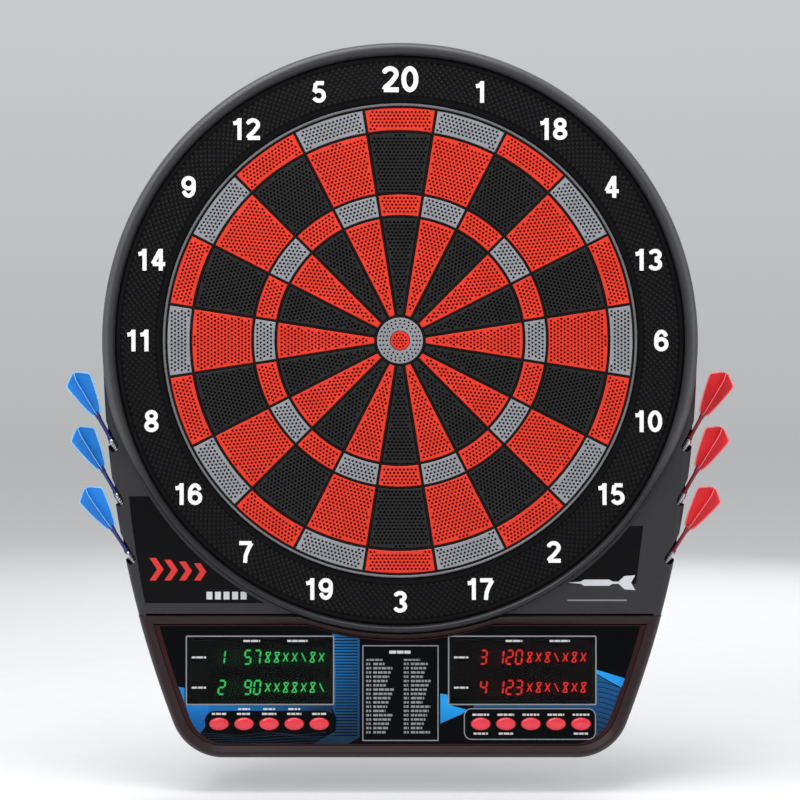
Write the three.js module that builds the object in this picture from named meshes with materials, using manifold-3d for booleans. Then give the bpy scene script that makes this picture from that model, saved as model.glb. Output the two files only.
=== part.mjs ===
// Electronic dartboard, in millimetres. +Z is up, the front faces -Y, and the origin lies on the wall plane
// behind the centre of the bull. Every piece is drawn in the board frame, with x to the right, y up and
// z out from the wall, and the exported group stands that frame upright.
import * as THREE from "three";
import { mergeVertices } from "three/addons/utils/BufferGeometryUtils.js";
import Module from "manifold-3d";

const wasm = await Module();
wasm.setup();

const DEG = Math.PI / 180;
const GAP = 0.4; // clearance between neighbouring pieces

// Target face: radii from the centre of the bull.
const FACE_R = 196.85; // outside of the double ring, half of 15.5 inches
const RINGS = [20.5, 104.5, 124, 176, FACE_R]; // bull, triple's two edges, double's two edges
const INNER_BULL_R = 8;
const BULL_FLANGE = 2; // how far the inner bull's flange reaches behind the outer bull
// Clockwise from the top.
const NUMBERS = [20, 1, 18, 4, 13, 6, 10, 15, 2, 17, 3, 19, 7, 16, 8, 11, 14, 9, 12, 5];
const SECTOR = (2 * Math.PI) / NUMBERS.length;
const ARC_STEPS = 2; // facets of one sector's arc
const WEB = 1.5; // thickness of a spider wall
const COARSE = 40; // facets of a hidden disc or ring
const FINE = 60; // facets of a ring that shows

// Housing outline: a round top, two long side arcs that run on from it, and two corner arcs at the foot.
const HOUSING_R = 251;
const SIDE_R = 900;
const CORNER_R = 45;
const BOTTOM_Y = -351.6;

// Depths from the wall.
const REAR_DEPTH = 20; // the rear cover's, up to the parting line
const REAR_PLATE = 2.5; // thickness of the rear cover's plate
const BOARD_BACK_Z = 16.3; // backing board, switch film and rubber pad lie on each other
const FILM_BACK_Z = 19.6;
const PAD_BACK_Z = 20.5;
const SHOULDER_Z = 39;
const FRAME_Z = 41.5; // the frame round the score panel
const RIM_Z = 45.8; // crest of the round rim
const SEGMENT_BACK_Z = 24;
const SEGMENT_FRONT_Z = 40;
const SEGMENT_FLANGE = 2;
const PRESS = 1.2; // travel of a segment, a bull and a button
const SPIDER_BACK_Z = SEGMENT_BACK_Z + SEGMENT_FLANGE + GAP;
const SPIDER_FRONT_Z = SEGMENT_FRONT_Z - 0.6;
const FLANGE_FRONT_Z = SPIDER_BACK_Z + 2.1; // front of the spider's outer flange
const LEDGE_BACK_Z = 33.4; // back of the ledge that the score panel lies on
const FASCIA_BACK_Z = 36;
const FASCIA_FRONT_Z = 38.2;
const CIRCUIT_FRONT_Z = 29.5;
const DISPLAY_BACK_Z = 29.8;

// Shells.
const WALL = 2.6;
const REAR_INSET = 3; // how far the rear cover stands inside the bezel's outline
const CATCH_OUT_R = 239.4; // outside of the number ring
const CATCH_IN_R = 199.8;
const LEDGE_R = 236; // inside of the ledge that the number ring lies on
const SPIDER_FLANGE_R = 245;
const STANDOFF_RING_R = 209; // feet that hold the spider off the backing board
const TARGET_R = 203; // rubber pad and switch film
const PANEL_INSET = 10.5; // width of the frame round the score panel
const PANEL_TOP_Y = -239;
const FRAME_TOP_Y = -231.5;
const PANEL_RIM_R = 251.5; // the panel stops short of the rim along this arc

// Case screws: eight round the target, two at the lower corners and one at the foot.
const POST_RING_R = 240;
const POST_R = 5;
const BOSS_R = 4;
const WELL_R = 3.2; // screw well inside a post
const LOWER_POSTS = [[-185.5, -309], [185.5, -309], [0, -343]];

// What the rear cover carries.
const KEYHOLE = { x: 165, y: 88, entryR: 5.2, slotR: 2.6, rise: 14 };
const POCKET = { half: 5.6, depth: 5.8, wall: 1.4 }; // room for a screw's head behind each keyhole
const SPEAKER_Y = -300;
const GRILLE_R = 22;
const JACK_X = 140;
const JACK_Z = 10.5;

// Controls.
const BUTTON_PITCH = 21.1;
const BUTTON_ROW_X = 110.2; // centre of each row of five
const BUTTON_Y = -322.7;
const BUTTON_RX = 8.2;
const BUTTON_RY = 5.2;
const WINDOW_W = 122;
const WINDOW_H = 55.4;
const WINDOWS = { left: [-117.9, -277.7], right: [103, -277.7] };

// Stored darts. A mouth is where the barrel enters its sleeve, on the left side; the right side mirrors it.
// The middle dart lies a little deeper, so that each dart's flight clears the next one as it is drawn out.
const DART_MOUTHS = [
  { x: -241, y: -90, z: 30, lean: 29 },
  { x: -236.9, y: -135.6, z: 27, lean: 30 },
  { x: -226.6, y: -184.8, z: 30, lean: 33 },
];
const BARREL_R = 3.3;
const BORE_R = 3.9;
const SLEEVE_R = 5.6;
const SLEEVE_LENGTH = 45;
const FLIGHT_START = 31; // from the mouth
const FLIGHT_THICKNESS = 0.6;

// ---- Geometry helpers -------------------------------------------------------------------------------------

// A closed geometry as a manifold-3d solid. A profile drawn the other way round is turned right side out.
function solidOf(geometry) {
  const bare = geometry.index ? geometry.toNonIndexed() : geometry.clone();
  for (const name of Object.keys(bare.attributes)) if (name !== "position") bare.deleteAttribute(name);
  const merged = mergeVertices(bare, 1e-4);
  const vertProperties = merged.attributes.position.array;
  const make = (triVerts) => new wasm.Manifold(new wasm.Mesh({ numProp: 3, vertProperties, triVerts }));
  const triVerts = new Uint32Array(merged.index.array);
  const solid = make(triVerts);
  return solid.volume() < 0 ? make(triVerts.reverse()) : solid;
}

function geometryOf(solid) {
  const mesh = solid.getMesh();
  const geometry = new THREE.BufferGeometry();
  geometry.setAttribute("position", new THREE.BufferAttribute(new Float32Array(mesh.vertProperties), 3));
  geometry.setIndex(new THREE.BufferAttribute(new Uint32Array(mesh.triVerts), 1));
  geometry.computeVertexNormals();
  return geometry;
}

const union = (solids) => solids.reduce((all, one) => all.add(one));

// Points along an arc, both ends included.
function arc(cx, cy, radius, from, to, steps) {
  return Array.from({ length: steps + 1 }, (_, i) => {
    const a = from + ((to - from) * i) / steps;
    return new THREE.Vector2(cx + radius * Math.cos(a), cy + radius * Math.sin(a));
  });
}

const circle = (cx, cy, radius, steps) => arc(cx, cy, radius, 0, 2 * Math.PI, steps).slice(0, -1);

function ellipse(cx, cy, rx, ry, steps) {
  return circle(0, 0, 1, steps).map((p) => new THREE.Vector2(cx + p.x * rx, cy + p.y * ry));
}

function prism(points, z0, z1, holes = []) {
  const shape = new THREE.Shape(points);
  shape.holes = holes.map((hole) => new THREE.Path(hole));
  const geometry = new THREE.ExtrudeGeometry(shape, { depth: z1 - z0, bevelEnabled: false });
  return solidOf(geometry.translate(0, 0, z0));
}

// A prism whose two ends draw in by inset over height, straight with one step and rounded with more.
function bevelled(points, z0, z1, inset, height, steps) {
  const geometry = new THREE.ExtrudeGeometry(new THREE.Shape(points), {
    depth: z1 - z0 - 2 * height,
    bevelThickness: height,
    bevelSize: inset,
    bevelOffset: -inset,
    bevelSegments: steps,
  });
  return solidOf(geometry.translate(0, 0, z0 + height));
}

const cylinder = (x, y, radius, z0, z1, steps) => prism(circle(x, y, radius, steps), z0, z1);

function box(x0, x1, y0, y1, z0, z1) {
  const geometry = new THREE.BoxGeometry(x1 - x0, y1 - y0, z1 - z0);
  return solidOf(geometry.translate((x0 + x1) / 2, (y0 + y1) / 2, (z0 + z1) / 2));
}

// A ring round the z axis from a closed profile of [radius, z] points.
function turned(profile, steps) {
  const points = [...profile, profile[0]].map(([r, z]) => new THREE.Vector2(r, z));
  return solidOf(new THREE.LatheGeometry(points, steps).rotateX(Math.PI / 2));
}

// The housing's outline, drawn in by inset.
function outline(inset) {
  const sideX = SIDE_R - HOUSING_R;
  const cornerY = BOTTOM_Y + CORNER_R;
  const cornerX = Math.sqrt((SIDE_R - CORNER_R) ** 2 - cornerY ** 2) - sideX;
  const sweep = Math.asin(-cornerY / (SIDE_R - CORNER_R));
  const half = [
    ...arc(0, 0, HOUSING_R - inset, Math.PI / 2, Math.PI, 15),
    ...arc(sideX, 0, SIDE_R - inset, Math.PI, Math.PI + sweep, 6).slice(1),
    ...arc(-cornerX, cornerY, CORNER_R - inset, Math.PI + sweep, 1.5 * Math.PI, 5).slice(1),
  ];
  const mirrored = half.slice(1).reverse().map((p) => new THREE.Vector2(-p.x, p.y));
  return [...half, ...mirrored];
}

// What lies inside an inset outline, under a level, and outside a circle: the score panel's area.
function panelArea(inset, top, rimR, z0, z1) {
  return prism(outline(inset), z0, z1)
    .intersect(box(-300, 300, -400, top, z0, z1))
    .subtract(cylinder(0, 0, rimR, z0 - 1, z1 + 1, 60));
}

// The outline of one sector between two radii, with its straight sides drawn in from the sector's edges.
function sectorCell(middle, r0, r1, sideGap) {
  const half = (r) => SECTOR / 2 - Math.asin(sideGap / r);
  return [
    ...arc(0, 0, r1, middle - half(r1), middle + half(r1), ARC_STEPS),
    ...arc(0, 0, r0, middle + half(r0), middle - half(r0), ARC_STEPS),
  ];
}

const sectorMiddle = (i) => Math.PI / 2 - i * SECTOR;

// The four bands of one sector as [inner radius, outer radius].
const BANDS = RINGS.slice(1).map((outer, i) => [RINGS[i], outer]);

// ---- Materials --------------------------------------------------------------------------------------------

const plastic = (color, roughness) => new THREE.MeshStandardMaterial({ color, roughness, metalness: 0 });
const HOUSING = plastic(0x46464c, 0.38);
const RING_BLACK = plastic(0x18181b, 0.55);
const SPIDER_BLACK = plastic(0x101012, 0.45);
const SEGMENT_RED = plastic(0xe2401f, 0.5);
const SEGMENT_BLACK = plastic(0x202124, 0.5);
const BULL_GREY = plastic(0x7d828a, 0.5);
const RUBBER = plastic(0x2a2a2a, 0.9);
const FILM = plastic(0xc9b98a, 0.3);
const BOARD = plastic(0x3a3a3d, 0.8);
const FASCIA = plastic(0x0d1016, 0.25);
const SMOKED = plastic(0x101010, 0.1);
SMOKED.transparent = true;
SMOKED.opacity = 0.5;
const LED_HOUSING = plastic(0x151515, 0.6);
const CIRCUIT = plastic(0x1f5a36, 0.5);
const BUTTON_RED = plastic(0xd6283a, 0.35);
const METAL = new THREE.MeshStandardMaterial({ color: 0xc8c8ca, roughness: 0.25, metalness: 1 });
const DART_COLOURS = { left: plastic(0x1488d6, 0.35), right: plastic(0xd11f2c, 0.35) };

// ---- Assembly ---------------------------------------------------------------------------------------------

const board = new THREE.Group();
board.rotation.x = Math.PI / 2; // stands the board frame upright, so that z out from the wall becomes -Y

function add(name, solid, material, parent = board) {
  const mesh = new THREE.Mesh(geometryOf(solid), material);
  mesh.name = name;
  parent.add(mesh);
  return mesh;
}

// A group at a dart's mouth, with its y axis along the dart and out of the sleeve.
function dartGroup(side, { x, y, z, lean }) {
  const sign = side === "left" ? 1 : -1;
  const group = new THREE.Group();
  group.position.set(sign * x, y, z);
  group.rotation.z = sign * lean * DEG;
  group.updateMatrix();
  return group;
}

function inDartFrame(side, mouth, geometry) {
  return solidOf(geometry.applyMatrix4(dartGroup(side, mouth).matrix));
}

const SIDES = ["left", "right"];
const DARTS = SIDES.flatMap((side) => DART_MOUTHS.map((mouth, i) => ({ side, mouth, number: i + 1 })));

const postPlaces = () => [
  ...arc(0, 0, POST_RING_R, 22.5 * DEG, 382.5 * DEG, 8).slice(0, -1).map((p) => [p.x, p.y]),
  ...LOWER_POSTS,
];

// ---- Housing ----------------------------------------------------------------------------------------------

function keyhole(side) {
  const x = side * KEYHOLE.x;
  const { y, entryR, slotR, rise } = KEYHOLE;
  const z0 = -1;
  const z1 = REAR_PLATE + 1;
  return union([
    cylinder(x, y, entryR, z0, z1, 16),
    box(x - slotR, x + slotR, y, y + rise, z0, z1),
    cylinder(x, y + rise, slotR, z0, z1, 12),
  ]);
}

// The closed pocket behind a keyhole, grown by a wall's thickness for its outside.
function pocket(side, grown, z0) {
  const x = side * KEYHOLE.x;
  const reach = POCKET.half + grown;
  const z1 = REAR_PLATE + POCKET.depth + grown;
  return box(x - reach, x + reach, KEYHOLE.y - reach, KEYHOLE.y + KEYHOLE.rise + reach, z0, z1);
}

function rearCover() {
  const edge = 2;
  const shell = bevelled(outline(REAR_INSET), 0, REAR_DEPTH, edge, edge, 1)
    .subtract(prism(outline(REAR_INSET + WALL), REAR_PLATE, REAR_DEPTH + 1));
  const postTop = SPIDER_BACK_Z - GAP;
  const posts = postPlaces().map(([x, y]) => cylinder(x, y, POST_R, REAR_PLATE - 0.5, postTop, 10));
  const wells = postPlaces().map(([x, y]) => cylinder(x, y, WELL_R, -1, REAR_DEPTH - 2, 10));
  const grille = [-3, -2, -1, 0, 1, 2, 3].map((k) => {
    const x = k * 6;
    const half = Math.sqrt(GRILLE_R ** 2 - x ** 2);
    return box(x - 1.5, x + 1.5, SPEAKER_Y - half, SPEAKER_Y + half, -1, REAR_PLATE + 1);
  });
  const jackHole = solidOf(new THREE.CylinderGeometry(4.3, 4.3, 6, 12).translate(JACK_X, -347.5, JACK_Z));
  const pockets = [-1, 1].map((side) => pocket(side, POCKET.wall, REAR_PLATE - 0.5));
  const rooms = [-1, 1].map((side) => pocket(side, 0, REAR_PLATE));
  return union([shell, ...posts, ...pockets])
    .subtract(union([...wells, ...grille, ...rooms, jackHole, keyhole(-1), keyhole(1)]));
}

// The outer skin: shoulders round the target, and the slightly higher frame round the score panel.
function bezelSkin() {
  const edge = 7; // radius of the rounded front edge
  const shoulders = bevelled(outline(0), 0, SHOULDER_Z, edge, edge, 3);
  const frame = bevelled(outline(0), 0, FRAME_Z, edge, edge, 3)
    .intersect(box(-300, 300, -400, FRAME_TOP_Y, 0, FRAME_Z + 1));
  const seam = box(-300, 300, FRAME_TOP_Y, FRAME_TOP_Y + 1.4, SHOULDER_Z - 1.2, FRAME_Z + 1);
  const cavity = bevelled(outline(WALL), -10, SHOULDER_Z - WALL, 4, 4, 2);
  const front = box(-300, 300, -400, 300, REAR_DEPTH + GAP, FRAME_Z + 1);
  return shoulders.add(frame).intersect(front).subtract(union([seam, cavity]));
}

// The half-round rim outside the number ring, with the ledge that the ring lies on.
function bezelRim() {
  const ledgeZ = 36.3;
  return turned(
    [[LEDGE_R, 33.8], [LEDGE_R, ledgeZ], [239.8, ledgeZ], [239.8, 42], [241.2, 44.6], [243.6, RIM_Z],
      [246.2, 45], [248.6, 42.6], [250.2, SHOULDER_Z], [250.6, 33.8]],
    FINE,
  );
}

// The ledge under the edge of the score panel.
function panelLedge() {
  const front = SHOULDER_Z - WALL + 0.2;
  const width = 3.5;
  const seat = panelArea(PANEL_INSET, PANEL_TOP_Y, PANEL_RIM_R, FASCIA_BACK_Z - GAP, 60);
  const opening = panelArea(PANEL_INSET + width, PANEL_TOP_Y - width, PANEL_RIM_R + width, 30, 60);
  return panelArea(PANEL_INSET - 2.5, PANEL_TOP_Y + 3, 248, LEDGE_BACK_Z, front)
    .subtract(seat)
    .subtract(opening);
}

// The opening for the score panel, with a slope down to it from the frame.
function panelOpening() {
  const slope = bevelled(outline(PANEL_INSET - 6), FASCIA_FRONT_Z - 0.6, 90, 6, 4.2, 1)
    .intersect(box(-300, 300, -400, PANEL_TOP_Y + 5, 30, 90))
    .subtract(cylinder(0, 0, PANEL_RIM_R, 20, 100, FINE));
  return slope.add(panelArea(PANEL_INSET, PANEL_TOP_Y, PANEL_RIM_R, 30, 60));
}

function frontBezel() {
  const inSleeves = (geometry) => DARTS.map(({ side, mouth }) => inDartFrame(side, mouth, geometry()));
  const sleeves = inSleeves(() =>
    new THREE.CylinderGeometry(SLEEVE_R, SLEEVE_R, SLEEVE_LENGTH, 12).translate(0, -SLEEVE_LENGTH / 2, 0));
  const bores = inSleeves(() => new THREE.CylinderGeometry(BORE_R, BORE_R, 70, 12).translate(0, -15, 0));
  const notchHalf = BORE_R + 0.3;
  const notches = inSleeves(() =>
    new THREE.BoxGeometry(2 * notchHalf, 40, 30).translate(0, 20, 15 - notchHalf));
  const bosses = postPlaces().map(([x, y]) => cylinder(x, y, BOSS_R, FLANGE_FRONT_Z + GAP, 34.6, 8));
  const targetHole = cylinder(0, 0, 245, REAR_DEPTH, 60, FINE);
  return bezelSkin()
    .add(panelLedge())
    .subtract(union([panelOpening(), targetHole]))
    .add(union([bezelRim(), ...bosses, ...sleeves]))
    .intersect(prism(outline(0), 0, 60))
    .subtract(union([...bores, ...notches]));
}

function catchRing() {
  return turned(
    [[CATCH_IN_R, 29], [CATCH_IN_R, 40.2], [203, 41], [237, 41.6], [CATCH_OUT_R, 40.6], [CATCH_OUT_R, 36.8],
      [232, 36.8], [231, 38.4], [203.6, 38.4], [202.2, 29]],
    FINE,
  );
}

// ---- Target -----------------------------------------------------------------------------------------------

function spider() {
  const cells = NUMBERS.flatMap((_, i) =>
    BANDS.map(([r0, r1]) => sectorCell(sectorMiddle(i), r0 + WEB / 2, r1 - WEB / 2, WEB / 2)));
  const bullHole = circle(0, 0, RINGS[0] - WEB / 2, COARSE);
  const face = circle(0, 0, FACE_R, COARSE);
  const web = prism(circle(0, 0, FACE_R + 2, COARSE), SPIDER_BACK_Z, SPIDER_FRONT_Z, [bullHole, ...cells]);
  const flange = prism(circle(0, 0, SPIDER_FLANGE_R, FINE), SPIDER_BACK_Z, FLANGE_FRONT_Z, [face]);
  const standoffs = arc(0, 0, STANDOFF_RING_R, 22.5 * DEG, 382.5 * DEG, 8).slice(1)
    .map((p) => cylinder(p.x, p.y, BOSS_R, FILM_BACK_Z + 0.1, SPIDER_BACK_Z + 0.5, 8));
  return union([web, flange, ...standoffs]);
}

// The four segments of one number, on the flange plate that keeps them behind the spider.
function segmentColumn(i) {
  const middle = sectorMiddle(i);
  const draw = WEB / 2 + GAP;
  const cell = sectorCell(middle, RINGS[0] + 1.6, FACE_R - 0.5, GAP);
  const plate = prism(cell, SEGMENT_BACK_Z, SEGMENT_BACK_Z + SEGMENT_FLANGE);
  const blocks = BANDS.map(([r0, r1]) =>
    prism(sectorCell(middle, r0 + draw, r1 - draw, draw), SEGMENT_BACK_Z + 1, SEGMENT_FRONT_Z));
  return union([plate, ...blocks]);
}

function outerBull() {
  const outer = RINGS[0] - WEB / 2 - GAP;
  const bore = INNER_BULL_R + GAP;
  const recessR = bore + BULL_FLANGE;
  const flangeR = RINGS[0] + WEB / 2;
  const flangeTop = SEGMENT_BACK_Z + SEGMENT_FLANGE;
  const recessTop = flangeTop + PRESS + GAP; // lets the outer bull go in past the inner bull's flange
  return turned(
    [[recessR, SEGMENT_BACK_Z], [flangeR, SEGMENT_BACK_Z], [flangeR, flangeTop], [outer, flangeTop],
      [outer, SEGMENT_FRONT_Z], [bore, SEGMENT_FRONT_Z], [bore, recessTop], [recessR, recessTop]],
    COARSE,
  );
}

function innerBull() {
  return cylinder(0, 0, INNER_BULL_R, SEGMENT_BACK_Z, SEGMENT_FRONT_Z, 24)
    .add(cylinder(0, 0, INNER_BULL_R + BULL_FLANGE, SEGMENT_BACK_Z, SEGMENT_BACK_Z + SEGMENT_FLANGE, 24));
}

// The switch film, with the tail that carries its traces to the circuit board.
function sensorMembrane() {
  const front = FILM_BACK_Z + 0.6;
  const tail = box(-16, 16, -258, -190, FILM_BACK_Z, front);
  return cylinder(0, 0, TARGET_R, FILM_BACK_Z, front, COARSE).add(tail);
}

const rubberPad = () => cylinder(0, 0, TARGET_R, PAD_BACK_Z, PAD_BACK_Z + 1.9, COARSE);

// A low round rib on the back of the backing board.
const roundRib = (r, steps) => {
  const [z0, z1] = [REAR_PLATE + GAP, BOARD_BACK_Z + 0.5];
  return turned([[r - 1, z0], [r + 1, z0], [r + 1, z1], [r - 1, z1]], steps);
};

// The backing board, with two round ribs and eight spokes that stand on the rear cover's plate.
function backingBoard() {
  const hubR = 40;
  const ringR = 208;
  const z0 = REAR_PLATE + GAP;
  const rise = BOARD_BACK_Z + 0.5 - z0;
  const board = cylinder(0, 0, 214, BOARD_BACK_Z, FILM_BACK_Z - 0.3, COARSE);
  const spokes = Array.from({ length: 8 }, (_, i) => {
    const spoke = new THREE.BoxGeometry(ringR - hubR, 2, rise);
    return solidOf(spoke.translate((ringR + hubR) / 2, 0, z0 + rise / 2).rotateZ(i * 45 * DEG));
  });
  return union([board, roundRib(ringR, COARSE), roundRib(hubR, 24), ...spokes]);
}

// ---- Score panel ------------------------------------------------------------------------------------------

const buttonPlaces = (side) => {
  const sign = side === "left" ? -1 : 1;
  return [-2, -1, 0, 1, 2].map((k) => sign * BUTTON_ROW_X + k * BUTTON_PITCH);
};

function windowBox([x, y], grow, z0, z1) {
  const halfW = WINDOW_W / 2 + grow;
  const halfH = WINDOW_H / 2 + grow;
  return box(x - halfW, x + halfW, y - halfH, y + halfH, z0, z1);
}

function fasciaPlate() {
  const holes = SIDES.flatMap(buttonPlaces)
    .map((x) => prism(ellipse(x, BUTTON_Y, BUTTON_RX + GAP, BUTTON_RY + GAP, 16), 30, 45));
  const windows = Object.values(WINDOWS).map((middle) => windowBox(middle, GAP, 30, 45));
  return panelArea(PANEL_INSET + GAP, PANEL_TOP_Y - GAP, PANEL_RIM_R + GAP, FASCIA_BACK_Z, FASCIA_FRONT_Z)
    .subtract(union([...holes, ...windows]));
}

// An oval cap on a flange that keeps it behind the score panel, and a stem that presses a dome of the pad.
function button(x) {
  const flangeBack = 34.2;
  const lip = 1.3;
  const edge = 0.5;
  const oval = (grow) => ellipse(x, BUTTON_Y, BUTTON_RX + grow, BUTTON_RY + grow, 16);
  const cap = bevelled(oval(0), flangeBack + edge, 40.4, edge, edge, 1);
  const flange = prism(oval(lip), flangeBack, flangeBack + PRESS);
  return union([cap, flange, cylinder(x, BUTTON_Y, 3, flangeBack - 1, flangeBack + edge, 8)]);
}

function buttonPad() {
  const back = CIRCUIT_FRONT_Z + 0.3;
  const dome = (x) => {
    const cone = new THREE.CylinderGeometry(2.6, 4.2, 1.6, 10).rotateX(Math.PI / 2);
    return solidOf(cone.translate(x, BUTTON_Y, back + 1.2));
  };
  const domes = SIDES.flatMap(buttonPlaces).map(dome);
  return union([box(-164, 164, -333, -312, back, back + 1), ...domes]);
}

// The processor board, with its main chips and the plug for the membrane's tail.
function mainBoard() {
  const back = CIRCUIT_FRONT_Z - 1.6;
  return union([
    box(-170, 170, -334, -256, back, CIRCUIT_FRONT_Z),
    box(-14, 14, -296, -268, back - 2.4, back + 0.3),
    box(60, 82, -300, -288, back - 2, back + 0.3),
    box(-18, 18, -262, -258, back - 5, back + 0.3),
  ]);
}

const ledDisplay = (middle) => windowBox(middle, -2, DISPLAY_BACK_Z, FASCIA_BACK_Z - 0.6);

// ---- Sound and power --------------------------------------------------------------------------------------

function speaker() {
  const profile = [[0, 3], [24.5, 3], [25, 3.6], [25, 6], [13, 13], [13, 19], [0, 19]];
  const points = profile.map(([r, z]) => new THREE.Vector2(r, z));
  return solidOf(new THREE.LatheGeometry(points, 24).rotateX(Math.PI / 2).translate(0, SPEAKER_Y, 0));
}

// A socket for a 5.5 mm barrel plug, with its mouth in the foot of the rear cover.
function powerJack() {
  const along = (radius, y0, y1, steps) => {
    const turnedPart = new THREE.CylinderGeometry(radius, radius, y1 - y0, steps);
    return solidOf(turnedPart.translate(JACK_X, (y0 + y1) / 2, JACK_Z));
  };
  return box(JACK_X - 4.8, JACK_X + 4.8, -345.8, -332, JACK_Z - 5.5, JACK_Z + 5.5)
    .add(along(3.9, -348.2, -345, 12))
    .subtract(along(3.1, -350, -338, 12))
    .add(along(1.05, -347.5, -337, 8));
}

// ---- Darts ------------------------------------------------------------------------------------------------

// Tip, barrel and shaft of one dart along y, with the shaft's end slotted for the flight.
function dartBody() {
  const profile = [[0, -66], [0.5, -66], [1.1, -44], [2.6, -41], [BARREL_R, -39], [BARREL_R, 7.5], [2.4, 9.5],
    [1.7, 11.5], [1.7, 28], [2.3, 30], [2.3, 42], [0, 42]];
  const points = profile.map(([r, y]) => new THREE.Vector2(r, y));
  const slots = flightCross(FLIGHT_THICKNESS + 2 * GAP, FLIGHT_START - GAP);
  return solidOf(new THREE.LatheGeometry(points, 10)).subtract(slots);
}

// Two crossed blades that begin at a distance along the dart, from an edge of [distance, half width] points.
function flightCross(thickness, begin) {
  const edge = [[begin, 3], [36, 5.4], [50, 9], [61, 11.4], [64.5, 11.7], [66, 11.2], [72, 3]];
  const right = edge.map(([along, half]) => new THREE.Vector2(half, along));
  const left = edge.map(([along, half]) => new THREE.Vector2(-half, along)).reverse();
  const blade = prism([...right, ...left], -thickness / 2, thickness / 2);
  return blade.add(blade.rotate([0, 90, 0]));
}

// ---- Everything in place ----------------------------------------------------------------------------------

add("rear_cover", rearCover(), HOUSING);
add("front_bezel", frontBezel(), HOUSING);
add("catch_ring", catchRing(), RING_BLACK);
add("spider", spider(), SPIDER_BLACK);
NUMBERS.forEach((number, i) => {
  add(`segments_${number}`, segmentColumn(i), i % 2 ? SEGMENT_RED : SEGMENT_BLACK);
});
add("outer_bull", outerBull(), BULL_GREY);
add("inner_bull", innerBull(), SEGMENT_RED);
add("rubber_pad", rubberPad(), RUBBER);
add("sensor_membrane", sensorMembrane(), FILM);
add("backing_board", backingBoard(), BOARD);

add("fascia", fasciaPlate(), FASCIA);
for (const [side, middle] of Object.entries(WINDOWS)) {
  add("score_window_" + side, windowBox(middle, 0, FASCIA_BACK_Z, FASCIA_FRONT_Z), SMOKED);
  add("led_display_" + side, ledDisplay(middle), LED_HOUSING);
  buttonPlaces(side).forEach((x, i) => add(`button_${side}_${i + 1}`, button(x), BUTTON_RED));
}
add("button_pad", buttonPad(), RUBBER);
add("main_board", mainBoard(), CIRCUIT);
add("speaker", speaker(), METAL);
add("power_jack", powerJack(), LED_HOUSING);

for (const { side, mouth, number } of DARTS) {
  const group = dartGroup(side, mouth);
  add(`dart_${side}_${number}`, dartBody(), METAL, group);
  add(`flight_${side}_${number}`, flightCross(FLIGHT_THICKNESS, FLIGHT_START), DART_COLOURS[side], group);
  board.add(group);
}

const dartboard = new THREE.Group();
dartboard.add(board);

export default dartboard;
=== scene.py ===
"""Electronic dartboard: the looks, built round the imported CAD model."""

from math import asin, atan2, cos, hypot, pi, radians, sin, sqrt

import bmesh
import bpy
from mathutils import Matrix, Vector
from mathutils.geometry import delaunay_2d_cdt


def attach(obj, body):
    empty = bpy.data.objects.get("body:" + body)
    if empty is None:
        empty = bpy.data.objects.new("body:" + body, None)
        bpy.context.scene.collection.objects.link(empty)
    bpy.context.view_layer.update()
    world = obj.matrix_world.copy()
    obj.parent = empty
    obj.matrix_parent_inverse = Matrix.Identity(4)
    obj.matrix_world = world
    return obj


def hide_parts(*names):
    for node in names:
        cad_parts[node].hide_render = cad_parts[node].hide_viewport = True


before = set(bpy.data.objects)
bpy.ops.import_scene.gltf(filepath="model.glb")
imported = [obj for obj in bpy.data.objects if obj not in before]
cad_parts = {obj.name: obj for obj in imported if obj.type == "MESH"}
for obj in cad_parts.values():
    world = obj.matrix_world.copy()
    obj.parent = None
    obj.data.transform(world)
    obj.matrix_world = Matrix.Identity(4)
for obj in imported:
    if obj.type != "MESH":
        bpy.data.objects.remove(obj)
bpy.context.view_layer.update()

# Sizes are in millimetres: x to the right, z up, d out from the wall. The bull is at x = 0, z = 0.
MM = 0.001
HOUSING_R, SIDE_R, CORNER_R, BOTTOM_Z = 251, 900, 45, -351.6
SIDE_X, CORNER_Z = SIDE_R - HOUSING_R, BOTTOM_Z + CORNER_R
CORNER_X = sqrt((SIDE_R - CORNER_R) ** 2 - CORNER_Z**2) - SIDE_X
SIDE_SWEEP = asin(-CORNER_Z / (SIDE_R - CORNER_R))
RINGS = [20.5, 104.5, 124, 176, 196.85]
BAND_NAMES = ["inner", "triple", "outer", "double"]
NUMBERS = [20, 1, 18, 4, 13, 6, 10, 15, 2, 17, 3, 19, 7, 16, 8, 11, 14, 9, 12, 5]
SECTOR = 2 * pi / 20
WEB, GAP = 1.5, 0.4
BULL_R = 8
SEGMENT_D, SPIDER_D, RING_D = 40.0, 39.4, 41.0
HOLE_FLOOR_D, CARRIER_D0, CARRIER_D1 = 34.5, 24, 26
SHOULDER_D, SHOULDER_BACK_D = 39.0, 36.4
PANEL_D, PANEL_BACK_D = 38.2, 36.0
RECESS_D, RECESS_R = 38.3, 248.6
RIM_IN_R = 239.7
SEAM_Z, SEAM_D = -231.5, 20.4
DISPLAY_D = 35.2

# ---- Materials ----


def linear(rgb, factor=1.0):
    """An 8-bit sRGB colour as linear RGBA, made darker or lighter by a factor."""
    values = [c / 255 for c in rgb]
    values = [v / 12.92 if v <= 0.04045 else ((v + 0.055) / 1.055) ** 2.4 for v in values]
    return (*[min(1.0, v * factor) for v in values], 1.0)


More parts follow.
